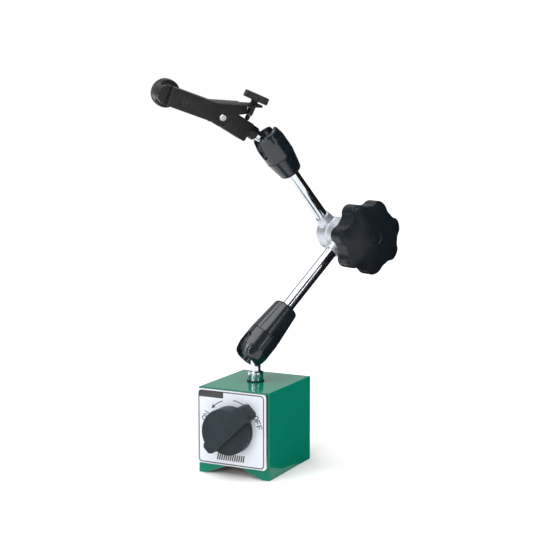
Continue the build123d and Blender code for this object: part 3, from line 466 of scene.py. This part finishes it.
plastic = {
    "lighter": 1.4,  # how much lighter the cloudy patches are
    "cloudSize": 7 * mm,
    "wornEdge": (0.5 * mm, 5),
    "patches": (3 * mm, 3, 0.5),
    "patchReach": (0.2, 1),
    "glossReach": 0.06,  # either side of the plain roughness
    "glossSize": 2 * mm,
    "specular": 0.22,
    "grainSize": 0.35 * mm,
    "grainStrength": 0.6,
}
metal = {
    "cloudSize": 3 * mm,
    "cloudDetail": 4,
    "smoother": 0.06,
    "rougher": 0.1,
    "glossSize": 1 * mm,
    "grainSize": 0.3 * mm,
    "grainDepth": 0.01 * mm,
    "grainStrength": 0.4,
}
sheetPrint = {
    "cloudSize": 10 * mm,
    "glossReach": 0.06,
    "glossSize": 3 * mm,
    "grainSize": 0.6 * mm,
    "grainDepth": 0.008 * mm,
    "grainStrength": 0.4,
}


def mouldedPlastic(name, colour, worn, roughness, grainDepth):
    reach = plastic["glossReach"]
    return finishFrom(name, {
        **plastic,
        "base": (colour, roughness, 0.0),
        "shades": (colour, tuple(c * plastic["lighter"] for c in colour)),
        "worn": worn,
        "gloss": (roughness - reach, roughness + reach),
        "grainDepth": grainDepth,
    })


def turnedMetal(name, colour, darker, roughness):
    return finishFrom(name, {
        **metal,
        "base": (colour, roughness, 1.0),
        "shades": (colour, darker),
        "gloss": (roughness - metal["smoother"], roughness + metal["rougher"]),
    })


def printedSheet(name, colour, other, roughness):
    reach = sheetPrint["glossReach"]
    return finishFrom(name, {
        **sheetPrint,
        "base": (colour, roughness, 0.0),
        "shades": (colour, other),
        "gloss": (roughness - reach, roughness + reach),
    })


finishes = {
    "green_paint": greenEnamel(),
    "gloss_black": finishFrom("glossLacquer", glossLacquer),
    "switch_black": mouldedPlastic(
        "switchPlastic", (0.009, 0.016, 0.021), (0.04, 0.05, 0.055), 0.45, 0.02 * mm),
    "knob_black": mouldedPlastic(
        "knobPlastic", (0.0045, 0.0075, 0.0105), (0.028, 0.034, 0.042), 0.33, 0.02 * mm),
    "foot_black": mouldedPlastic(
        "footRubber", (0.012, 0.012, 0.012), (0.02, 0.02, 0.02), 0.6, 0.03 * mm),
    "cover_steel": mouldedPlastic(
        "paintedCover", (0.02, 0.02, 0.022), (0.10, 0.10, 0.10), 0.4, 0.02 * mm),
    "chrome": finishFrom("polishedChrome", polishedChrome),
    "satin_chrome": finishFrom("satinChrome", satinChrome),
    "black_oxide": finishFrom("blackOxide", blackOxide),
    "brass": turnedMetal("brass", (0.72, 0.52, 0.22), (0.55, 0.38, 0.15), 0.3),
    "steel": turnedMetal("turnedSteel", (0.55, 0.56, 0.57), (0.40, 0.41, 0.42), 0.3),
    "plate_metal": turnedMetal("plateMetal", (0.66, 0.67, 0.69), (0.54, 0.55, 0.57), 0.32),
    "zinc_screws": turnedMetal("zincPlate", (0.66, 0.67, 0.68), (0.50, 0.51, 0.52), 0.32),
    "magnet": turnedMetal("groundMagnet", (0.22, 0.22, 0.23), (0.15, 0.15, 0.16), 0.4),
    "label_white": printedSheet("labelWhite", (0.60, 0.64, 0.71), (0.65, 0.68, 0.73), 0.4),
}
darkInk = printedSheet("darkInk", (0.020, 0.020, 0.024), (0.035, 0.035, 0.04), 0.45)
greyInk = printedSheet("greyInk", (0.05, 0.05, 0.06), (0.08, 0.08, 0.09), 0.45)
finishInstead = {
    "upper_spacer": "green_paint",  # painted over with the block
    "stem_block_rivet": "black_oxide",  # blackened with the channel
    "pivot_pin": "steel",  # left bright
}

for name, node in nodes.items():
    node.data.materials.clear()
    node.data.materials.append(finishes[finishInstead.get(name, slotOf[name])])
print("finishes on", len(nodes), "nodes")


def addPiece(name, mesh, finish, standsFor, place=None, sharpAngle=35):
    # A finished piece that takes over from CAD nodes and rides on their body
    piece = bpy.data.objects.new(name, mesh)
    bpy.context.scene.collection.objects.link(piece)
    if place is not None:
        mesh.transform(place)
    mesh.materials.clear()
    mesh.materials.append(finish)
    mesh.shade_smooth()
    mesh.set_sharp_from_angle(angle=math.radians(sharpAngle))
    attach(piece, bodyOf[standsFor])
    return piece


def meshFrom(name, verts, faces, dropThin=False):
    build = bmesh.new()
    made = [build.verts.new(v) for v in verts]
    for face in faces:
        build.faces.new([made[i] for i in face])
    bmesh.ops.remove_doubles(build, verts=build.verts, dist=1e-7)
    if dropThin:
        bmesh.ops.dissolve_degenerate(build, edges=build.edges, dist=1e-8)
    bmesh.ops.recalc_face_normals(build, faces=build.faces)
    mesh = bpy.data.meshes.new(name)
    build.to_mesh(mesh)
    build.free()
    return mesh


def axisPlace(origin, along, side):
    # Matrix whose local Z runs along an axis and whose local X is as near to side as it can be
    along = along.normalized()
    across = (side - along * side.dot(along)).normalized()
    other = along.cross(across)
    return Matrix.Translation(origin) @ Matrix((across, other, along)).transposed().to_4x4()


def softCorners(points, radius, steps=4, mostOfSide=0.45):
    # Rounds the corners of an open outline, but not its two ends
    soft = [points[0]]
    for before, corner, after in zip(points, points[1:], points[2:]):
        a, b, c = Vector(before), Vector(corner), Vector(after)
        back, ahead = (a - b), (c - b)
        reach = min(radius, back.length * mostOfSide, ahead.length * mostOfSide)
        start, end = b + back.normalized() * reach, b + ahead.normalized() * reach
        for i in range(steps + 1):
            t = i / steps
            soft.append(tuple((1 - t) ** 2 * start + 2 * t * (1 - t) * b + t * t * end))
    soft.append(points[-1])
    return soft


def turnedMesh(name, outline, segments=128, wobble=None):
    # Turned round Z from (radius, height) points; wobble(radius, height, angle) may change a radius
    verts, faces = [], []
    for radius, height in outline:
        for i in range(segments):
            angle = 2 * math.pi * i / segments
            r = wobble(radius, height, angle) if wobble else radius
            verts.append((r * math.cos(angle), r * math.sin(angle), height))
    for row, ((lowRadius, _), (highRadius, _)) in enumerate(zip(outline, outline[1:])):
        if lowRadius < 1e-9 and highRadius < 1e-9:
            continue
        low, high = row * segments, (row + 1) * segments
        for i in range(segments):
            j = (i + 1) % segments
            faces.append((low + i, low + j, high + j, high + i))
    return meshFrom(name, verts, faces, dropThin=True)


edgeRounding = {
    "segments": 3,
    "edgeAngle": 28,  # degrees; sharper edges than this are rounded
    "flatAngle": 0.6,  # faces nearer to flat than this are joined first
    "sharpAngle": 40,
}


def softenedNode(name, node, width):
    # A copy of a CAD node with its sharp edges truly rounded
    r = edgeRounding
    mesh = nodes[node].data.copy()
    build = bmesh.new()
    build.from_mesh(mesh)
    bmesh.ops.remove_doubles(build, verts=build.verts, dist=1e-6)
    flat = math.radians(r["flatAngle"])
    bmesh.ops.dissolve_limit(
        build, angle_limit=flat, verts=build.verts, edges=build.edges, delimit={"NORMAL"}
    )
    build.to_mesh(mesh)
    build.free()
    if mesh.has_custom_normals:
        mesh.normals_split_custom_set([(0, 0, 0)] * len(mesh.loops))
    carrier = bpy.data.objects.new(name + "Carrier", mesh)
    bpy.context.scene.collection.objects.link(carrier)
    rounding = carrier.modifiers.new("rounding", "BEVEL")
    rounding.width = width
    rounding.segments = r["segments"]
    rounding.limit_method = "ANGLE"
    rounding.angle_limit = math.radians(r["edgeAngle"])
    rounding.use_clamp_overlap = True
    rounding.miter_outer = "MITER_ARC"
    rounded = carrier.evaluated_get(bpy.context.evaluated_depsgraph_get())
    finished = bpy.data.meshes.new_from_object(rounded)
    bpy.data.objects.remove(carrier)
    piece = addPiece(name, finished, finishes[slotOf[node]], node, sharpAngle=r["sharpAngle"])
    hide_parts(node)


starKnob = {
    "lobes": 7,
    "tipRadius": 24.5 * mm,
    "lobeRadius": 5.6 * mm,
    "valleyRadius": 20.6 * mm,
    "blendRadius": 6.0 * mm,
    "phase": 20.0,  # degrees
    "back": 17.7 * mm,
    "top": 35.2 * mm,
    "crown": 4.3 * mm,
    "shoulder": 20.5 * mm,
    "dropReach": 25 * mm,  # past the shoulder the top drops, by dropDepth at this radius
    "dropDepth": 4.2 * mm,
    "edgeRound": 1.3 * mm,
    "edgeSteps": 6,
    "sideSteps": 6,
    "backRound": 1.0 * mm,
    "backSteps": 4,
    "valleyDip": 0.9 * mm,
    "dipStart": 0.35,  # share of the way out where the valleys begin
    "topRings": [0.17, 0.24, 0.32, 0.4, 0.48, 0.56, 0.64, 0.71, 0.77, 0.83, 0.88, 0.92],
    "recessRadius": 3.6 * mm,
    "recessDepth": 0.9 * mm,
    "recessLip": [(0, -0.35 * mm), (0.15 * mm, -0.08 * mm), (0.5 * mm, 0.0)],  # outwards, up
    "bossRadius": 10.0 * mm,
    "bossStart": 16.3 * mm,
    "bossFoot": [(1.2 * mm, 0), (0.2 * mm, 0.2 * mm), (0, 0.5 * mm)],  # outwards, down
    "bossEdge": 0.3 * mm,
    "boreRadius": 5.0 * mm,
    "boreDepth": 3 * mm,
    "segments": 336,
    "sharpAngle": 32,
}
knobPlug = {
    "crownHeight": 0.55 * mm,
    "outline": [(1.5 * mm, 0.5 * mm), (0.25 * mm, 0.25 * mm), (0.2 * mm, -0.6 * mm)],  # inwards, up
    "cornerRound": 0.3 * mm,
    "segments": 64,
}


def starRadius(angle):
    # Lobe arcs joined to the round body by hollow blends
    k = starKnob
    period = 2 * math.pi / k["lobes"]
    off = abs((angle + period / 2) % period - period / 2)
    lobeCentre = k["tipRadius"] - k["lobeRadius"]
    blendCentre = k["valleyRadius"] + k["blendRadius"]
    gap = k["lobeRadius"] + k["blendRadius"]
    cosine = (blendCentre**2 + lobeCentre**2 - gap**2) / (2 * blendCentre * lobeCentre)
    turn = math.acos(cosine)
    share = k["lobeRadius"] / gap
    touchX = lobeCentre + (blendCentre * math.cos(turn) - lobeCentre) * share
    touchY = blendCentre * math.sin(turn) * share
    if off < math.atan2(touchY, touchX):
        aside = lobeCentre * math.sin(off)
        return lobeCentre * math.cos(off) + math.sqrt(k["lobeRadius"] ** 2 - aside**2)
    if off < turn:
        away = blendCentre * math.sin(turn - off)
        return blendCentre * math.cos(turn - off) - math.sqrt(k["blendRadius"] ** 2 - away**2)
    return k["valleyRadius"]


def starTop(radius):
    # Domed to the shoulder, then falling away like a quarter of an ellipse
    k = starKnob
    height = k["top"] - k["crown"] * (radius / k["shoulder"]) ** 2
    past = max(0.0, (radius - k["shoulder"]) / (k["dropReach"] - k["shoulder"]))
    return height - k["dropDepth"] * (1 - math.sqrt(max(0.0, 1 - min(past, 1) ** 2)))


def starKnobMesh():
    # Rings of points from the middle of the face, over the rim and down to the bore in the boss
    k = starKnob
    count, edge, hole = k["segments"], k["edgeRound"], k["recessRadius"]
    verts, faces, rings = [], [], []

    def ring(makePoint):
        rings.append(len(verts))
        for i in range(count):
            angle = 2 * math.pi * i / count
            radius, height = makePoint(angle)
            verts.append((radius * math.cos(angle), radius * math.sin(angle), height))

    def dip(angle, radius):
        valley = 0.5 - 0.5 * math.cos(k["lobes"] * angle)
        share = radius / starRadius(angle)
        grow = min(1.0, max(0.0, (share - k["dipStart"]) / (1 - k["dipStart"])))
        return k["valleyDip"] * valley * grow * grow

    def topPoint(angle, radius):
        return radius, starTop(radius) - dip(angle, radius)

    def rimHeight(angle):
        return topPoint(angle, starRadius(angle) - edge)[1]

    def sideHeight(angle, share):
        return (rimHeight(angle) - edge) * (1 - share) + (k["back"] + k["backRound"]) * share

    topAt, floor = starTop(hole), -k["recessDepth"]
    recess = [(0.0, floor), (hole - 0.5 * mm, floor)]
    for radius, height in recess + [(hole + out, rise) for out, rise in k["recessLip"]]:
        base = topAt if radius < hole else starTop(radius)
        ring(lambda angle: (radius, base + height))
    innermost = hole + 0.6 * mm
    for share in k["topRings"]:
        across = share / k["topRings"][-1]
        ring(lambda angle: topPoint(angle, max(innermost, (starRadius(angle) - edge) * across)))
    for i in range(1, k["edgeSteps"] + 1):
        turn = math.pi / 2 * i / k["edgeSteps"]
        out, down = edge * math.sin(turn), edge * (1 - math.cos(turn))
        ring(lambda angle: (starRadius(angle) - edge + out, rimHeight(angle) - down))
    for step in range(1, k["sideSteps"]):
        ring(lambda angle: (starRadius(angle), sideHeight(angle, step / k["sideSteps"])))
    for i in range(k["backSteps"] + 1):
        turn = math.pi / 2 * i / k["backSteps"]
        inward, rise = k["backRound"] * (1 - math.cos(turn)), k["backRound"] * (1 - math.sin(turn))
        ring(lambda angle: (starRadius(angle) - inward, k["back"] + rise))
    boss, end = k["bossRadius"], k["bossStart"]
    foot = [(boss + out, k["back"] - down) for out, down in k["bossFoot"]]
    for radius, height in foot + [
        (boss, end + k["bossEdge"]), (boss - k["bossEdge"], end),
        (k["boreRadius"], end), (k["boreRadius"], end + k["boreDepth"]),
    ]:
        ring(lambda angle: (radius, height))
    for first, second in zip(rings, rings[1:]):
        for i in range(count):
            j = (i + 1) % count
            faces.append((first + i, first + j, second + j, second + i))
    return meshFrom("starKnob", verts, faces)


def buildStarKnob():
    k = starKnob
    reach = Vector((-elbowOut.y, elbowOut.x, 0))
    turned = Matrix.Rotation(math.radians(k["phase"]), 3, elbowOut) @ reach
    place = axisPlace(elbow, elbowOut, turned)
    black = finishes["knob_black"]
    knob = addPiece("starKnob", starKnobMesh(), black, "star_knob", place, k["sharpAngle"])
    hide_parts("star_knob")
    hole = k["recessRadius"]
    low = starTop(hole) - k["recessDepth"]
    sides = [(hole - inward, low + rise) for inward, rise in knobPlug["outline"]]
    outline = softCorners([(0, low + knobPlug["crownHeight"])] + sides, knobPlug["cornerRound"])
    mesh = turnedMesh("knobPlug", outline, knobPlug["segments"])
    plug = addPiece("knobPlug", mesh, black, "knob_plug", place)
    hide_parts("knob_plug")


adjustHead = {
    "radius": 8.2 * mm,
    "height": 4.5 * mm,
    "start": 13.4 * mm,
    "knurls": 40,
    "knurlDepth": 0.35 * mm,
    "rimRound": 0.7 * mm,
    "dishRadius": 5.6 * mm,
    "dishDepth": 0.35 * mm,
    "boreRadius": 2.4 * mm,
}
clampKnob = {
    "radius": 9.0 * mm,
    "height": 6.0 * mm,
    "start": 10.2 * mm,
    "knurls": 44,
    "knurlDepth": 0.4 * mm,
    "rimRound": 0.9 * mm,
    "dishRadius": 6.0 * mm,
    "dishDepth": 0.5 * mm,
    "bossRadius": 6.0 * mm,
    "bossStart": 9.0 * mm,
    "bossFoot": (0.1 * mm, 0.3 * mm),  # outwards, down
    "bossRound": 0.25 * mm,
    "boreRadius": 2.5 * mm,
}
knurling = {
    "dishSlope": 0.6 * mm,
    "roundSteps": 4,
    "rimSteps": 6,
    "toothShape": 0.7,  # under 1 makes the valleys narrower than the teeth
    "fade": 0.6,  # share of the rim's rounding over which the teeth fade out
    "perTooth": 8,
    "sharpAngle": 50,
}


def knurledOutline(head):
    # From the centre of the outer face, down the rim, to the underside
    start, top = head["start"], head["start"] + head["height"]
    r, soft = head["radius"], head["rimRound"]
    dish, face = head["dishRadius"], top - head["dishDepth"]
    points = [(0, face), (dish - knurling["dishSlope"], face), (dish, top)]
    turns = [math.pi / 2 * i / knurling["roundSteps"] for i in range(knurling["roundSteps"] + 1)]
    for turn in turns:
        points.append((r - soft + soft * math.sin(turn), top - soft + soft * math.cos(turn)))
    for i in range(1, knurling["rimSteps"]):
        points.append((r, top - soft - (head["height"] - 2 * soft) * i / knurling["rimSteps"]))
    for turn in turns:
        points.append((r - soft + soft * math.cos(turn), start + soft - soft * math.sin(turn)))
    return points


def knurl(head):
    def wobble(radius, height, angle):
        inside = head["radius"] - radius
        near = max(0.0, 1 - inside / (knurling["fade"] * head["rimRound"]))
        tooth = abs(math.sin(head["knurls"] * angle / 2)) ** knurling["toothShape"]
        return radius - head["knurlDepth"] * (1 - tooth) * near
    return wobble


def addKnurledHead(name, head, outline, place, node):
    mesh = turnedMesh(name, outline, head["knurls"] * knurling["perTooth"], knurl(head))
    piece = addPiece(name, mesh, finishes["black_oxide"], node, place, knurling["sharpAngle"])
    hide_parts(node)


def buildKnurledHeads():
    head = adjustHead
    outline = knurledOutline(head) + [(head["boreRadius"], head["start"])]
    place = axisPlace(adjustFoot, adjustUp, holderFar)
    addKnurledHead("adjustHead", head, outline, place, "adjust_head")
    knob = clampKnob
    boss, end, start = knob["bossRadius"], knob["bossStart"], knob["start"]
    out, down = knob["bossFoot"]
    neck = [(boss + out, start), (boss, start - down), (boss, end), (knob["boreRadius"], end)]
    outline = knurledOutline(knob) + softCorners(neck, knob["bossRound"])
    place = axisPlace(clampCentre, holderFar, up)
    addKnurledHead("clampKnob", knob, outline, place, "clamp_knob")


fineScrew = {
    "radius": 2.5 * mm,
    "start": 3.6 * mm,
    "end": 13.4 * mm,
    "pitch": 0.8 * mm,
    "depth": 0.42 * mm,
    "segments": 64,
    "rowsPerTurn": 8,
    "tipShare": 0.75,  # the tip's size against the full thread
    "tipLead": 0.15 * mm,
    "tipLength": 0.8 * mm,
    "sharpAngle": 80,
}


def buildFineScrew():
    s = fineScrew
    count, length = s["segments"], s["end"] - s["start"]
    rows = int(length / s["pitch"] * s["rowsPerTurn"])
    verts, faces = [], []
    for row in range(rows + 1):
        height = s["start"] + length * row / rows
        taper = min(1.0, (height - s["start"] + s["tipLead"]) / s["tipLength"])
        scale = s["tipShare"] + (1 - s["tipShare"]) * taper
        for i in range(count):
            angle = 2 * math.pi * i / count
            crest = abs(2 * ((height / s["pitch"] - i / count) % 1) - 1)
            radius = (s["radius"] - s["depth"] * (1 - crest)) * scale
            verts.append((radius * math.cos(angle), radius * math.sin(angle), height))
    for row in range(rows):
        low, high = row * count, (row + 1) * count
        for i in range(count):
            j = (i + 1) % count
            faces.append((low + i, low + j, high + j, high + i))
    faces.append(tuple(reversed(range(count))))
    faces.append(tuple(range(rows * count, (rows + 1) * count)))
    mesh = meshFrom("fineScrew", verts, faces)
    place = axisPlace(adjustFoot, adjustUp, holderFar)
    oxide = finishes["black_oxide"]
    screw = addPiece("fineScrew", mesh, oxide, "adjust_screw", place, s["sharpAngle"])
    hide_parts("adjust_screw")


# Millimetres on the plate, across and up, and degrees clockwise from straight up
labelPrint = {
    "front": -33.02,
    "frame": (-23.0, 22.5, 8.0, 53.5),  # left, right, low, high
    "frameRound": 2.2,
    "frameLine": 0.75,
    "darkPanel": (-22.9, -5.6, 49.5, 53.4),
    "panelRound": 0.7,
    "dialHeight": 30.5,
    "arcRadius": 18.5,
    "arcLine": 0.55,
    "arcStep": 2,
    "arcSpans": [(-41, 12), (4, 21)],  # first angle, how many points
    "arrowTip": -49,
    "arrowBase": -41,
    "arrowHalf": 1.3,
    "wordHeight": 3.3,
    "wordLine": 0.6,
    "letterHalf": 0.36,  # half a letter's width, as a share of its height
    "letterStep": 0.98,
    "onPlace": (-18.4, 37.4, 68),  # across, up, lean
    "offPlace": (18.4, 36.6, -68.5),
    "barsPlace": (-10.4, 9.2, 10.4, 14.6),
    "bars": 13,
    "barShare": 0.62,  # of each bar's pitch
    "barLean": 0.9,
}


def ribbon(points, width, closed=False):
    # Flat strip of one width along 2D points, mitred at its corners
    spots = [Vector(p) for p in points]
    count = len(spots)
    verts, faces = [], []
    for i, spot in enumerate(spots):
        before = spots[(i - 1) % count] if closed or i else spot
        after = spots[(i + 1) % count] if closed or i < count - 1 else spot
        first, second = spot - before, after - spot
        if first.length < 1e-9:
            first = second
        if second.length < 1e-9:
            second = first
        first, second = first.normalized(), second.normalized()
        bend = (first + second).normalized()
        side = Vector((-bend.y, bend.x)) * (width / 2 / max(0.5, bend.dot(first)))
        verts += [spot + side, spot - side]
    for i in range(count if closed else count - 1):
        j = (i + 1) % count
        faces.append((2 * i, 2 * i + 1, 2 * j + 1, 2 * j))
    return verts, faces


def roundedBox(left, right, low, high, radius):
    points = []
    across, back = right - radius, left + radius
    upper, lower = high - radius, low + radius
    corners = [(across, upper), (back, upper), (back, lower), (across, lower)]
    for quarter, (cx, cz) in enumerate(corners):
        for i in range(7):
            turn = math.radians(90 * quarter + 15 * i)
            points.append((cx + radius * math.cos(turn), cz + radius * math.sin(turn)))
    return points


def dialPoint(angle, radius):
    turn = math.radians(angle)
    return (radius * math.sin(turn), labelPrint["dialHeight"] + radius * math.cos(turn))


def letterStrokes(letter, height):
    w, h = height * labelPrint["letterHalf"], height / 2
    if letter == "O":
        turns = [2 * math.pi * i / 28 for i in range(28)]
        return [[(w * math.cos(turn), h * math.sin(turn)) for turn in turns]]
    if letter == "N":
        return [[(-w, -h), (-w, h), (w, -h), (w, h)]]
    return [[(-w, -h), (-w, h), (w, h)], [(-w, 0.04 * h), (0.6 * w, 0.04 * h)]]  # F


def addPrint(name, strips, ink):
    # Flat print on the plate, all facing the front
    front = labelPrint["front"] * mm
    verts, faces = [], []
    for stripVerts, stripFaces in strips:
        start = len(verts)
        verts += [(v[0] * mm, front, v[1] * mm) for v in stripVerts]
        faces += [tuple(start + i for i in face) for face in stripFaces]
    mesh = bpy.data.meshes.new(name)
    mesh.from_pydata(verts, [], faces)
    for polygon in mesh.polygons:
        if polygon.normal.y > 0:
            polygon.flip()
    addPiece(name, mesh, ink, "label_sheet")


def wordStrips(word, place):
    height = labelPrint["wordHeight"]
    x, z, lean = place
    turn = math.radians(lean)
    strips = []
    for index, letter in enumerate(word):
        shift = (index - (len(word) - 1) / 2) * height * labelPrint["letterStep"]
        for stroke in letterStrokes(letter, height):
            placed = []
            for px, pz in stroke:
                px += shift
                placed.append((x + px * math.cos(turn) - pz * math.sin(turn),
                               z + px * math.sin(turn) + pz * math.cos(turn)))
            strips.append(ribbon(placed, labelPrint["wordLine"], closed=letter == "O"))
    return strips


def buildLabelPrint():
    p = labelPrint
    frame = ribbon(roundedBox(*p["frame"], p["frameRound"]), p["frameLine"], closed=True)
    addPrint("labelFrame", [frame], greyInk)
    panel = roundedBox(*p["darkPanel"], p["panelRound"])
    addPrint("labelPanel", [(panel, [tuple(range(len(panel)))])], darkInk)
    strips = []
    for start, count in p["arcSpans"]:
        points = [dialPoint(start + p["arcStep"] * i, p["arcRadius"]) for i in range(count)]
        strips.append(ribbon(points, p["arcLine"]))
    arrow = [dialPoint(p["arrowTip"], p["arcRadius"])]
    for side in (-p["arrowHalf"], p["arrowHalf"]):
        arrow.append(dialPoint(p["arrowBase"], p["arcRadius"] + side))
    addPrint("turnArrow", strips + [(arrow, [(0, 1, 2)])], darkInk)
    words = wordStrips("ON", p["onPlace"]) + wordStrips("OFF", p["offPlace"])
    addPrint("switchWords", words, greyInk)
    left, right, low, high = p["barsPlace"]
    pitch = (right - left) / p["bars"]
    bars = []
    for i in range(p["bars"]):
        start, lean = left + pitch * i, p["barLean"]
        end = start + pitch * p["barShare"]
        corners = [(start, low), (end, low), (end + lean, high), (start + lean, high)]
        bars.append((corners, [(0, 1, 2, 3)]))
    addPrint("labelBars", bars, darkInk)


# How far the edges of the CAD shapes that stay are rounded
roundings = {
    "switch_knob": 0.9 * mm,
    "front_plate": 0.35 * mm,
    "label_sheet": 0.12 * mm,
    "holder_block": 0.4 * mm,
    "holder_channel": 0.35 * mm,
    "stem_block": 0.3 * mm,
    "clamp_cap": 0.4 * mm,
    "lower_hub": 0.35 * mm,
    "upper_hub": 0.35 * mm,
}


def buildSoftenedNodes():
    for node, width in roundings.items():
        words = node.split("_")
        softenedNode(words[0] + "".join(word.title() for word in words[1:]), node, width)


buildStarKnob()
buildKnurledHeads()
buildFineScrew()
print("knobs and screws built")
buildLabelPrint()
print("label printed")
buildSoftenedNodes()
print("edges rounded")

bpy.context.scene.view_settings.view_transform = "Standard"
addCamera()
addStudio()
print("studio ready")
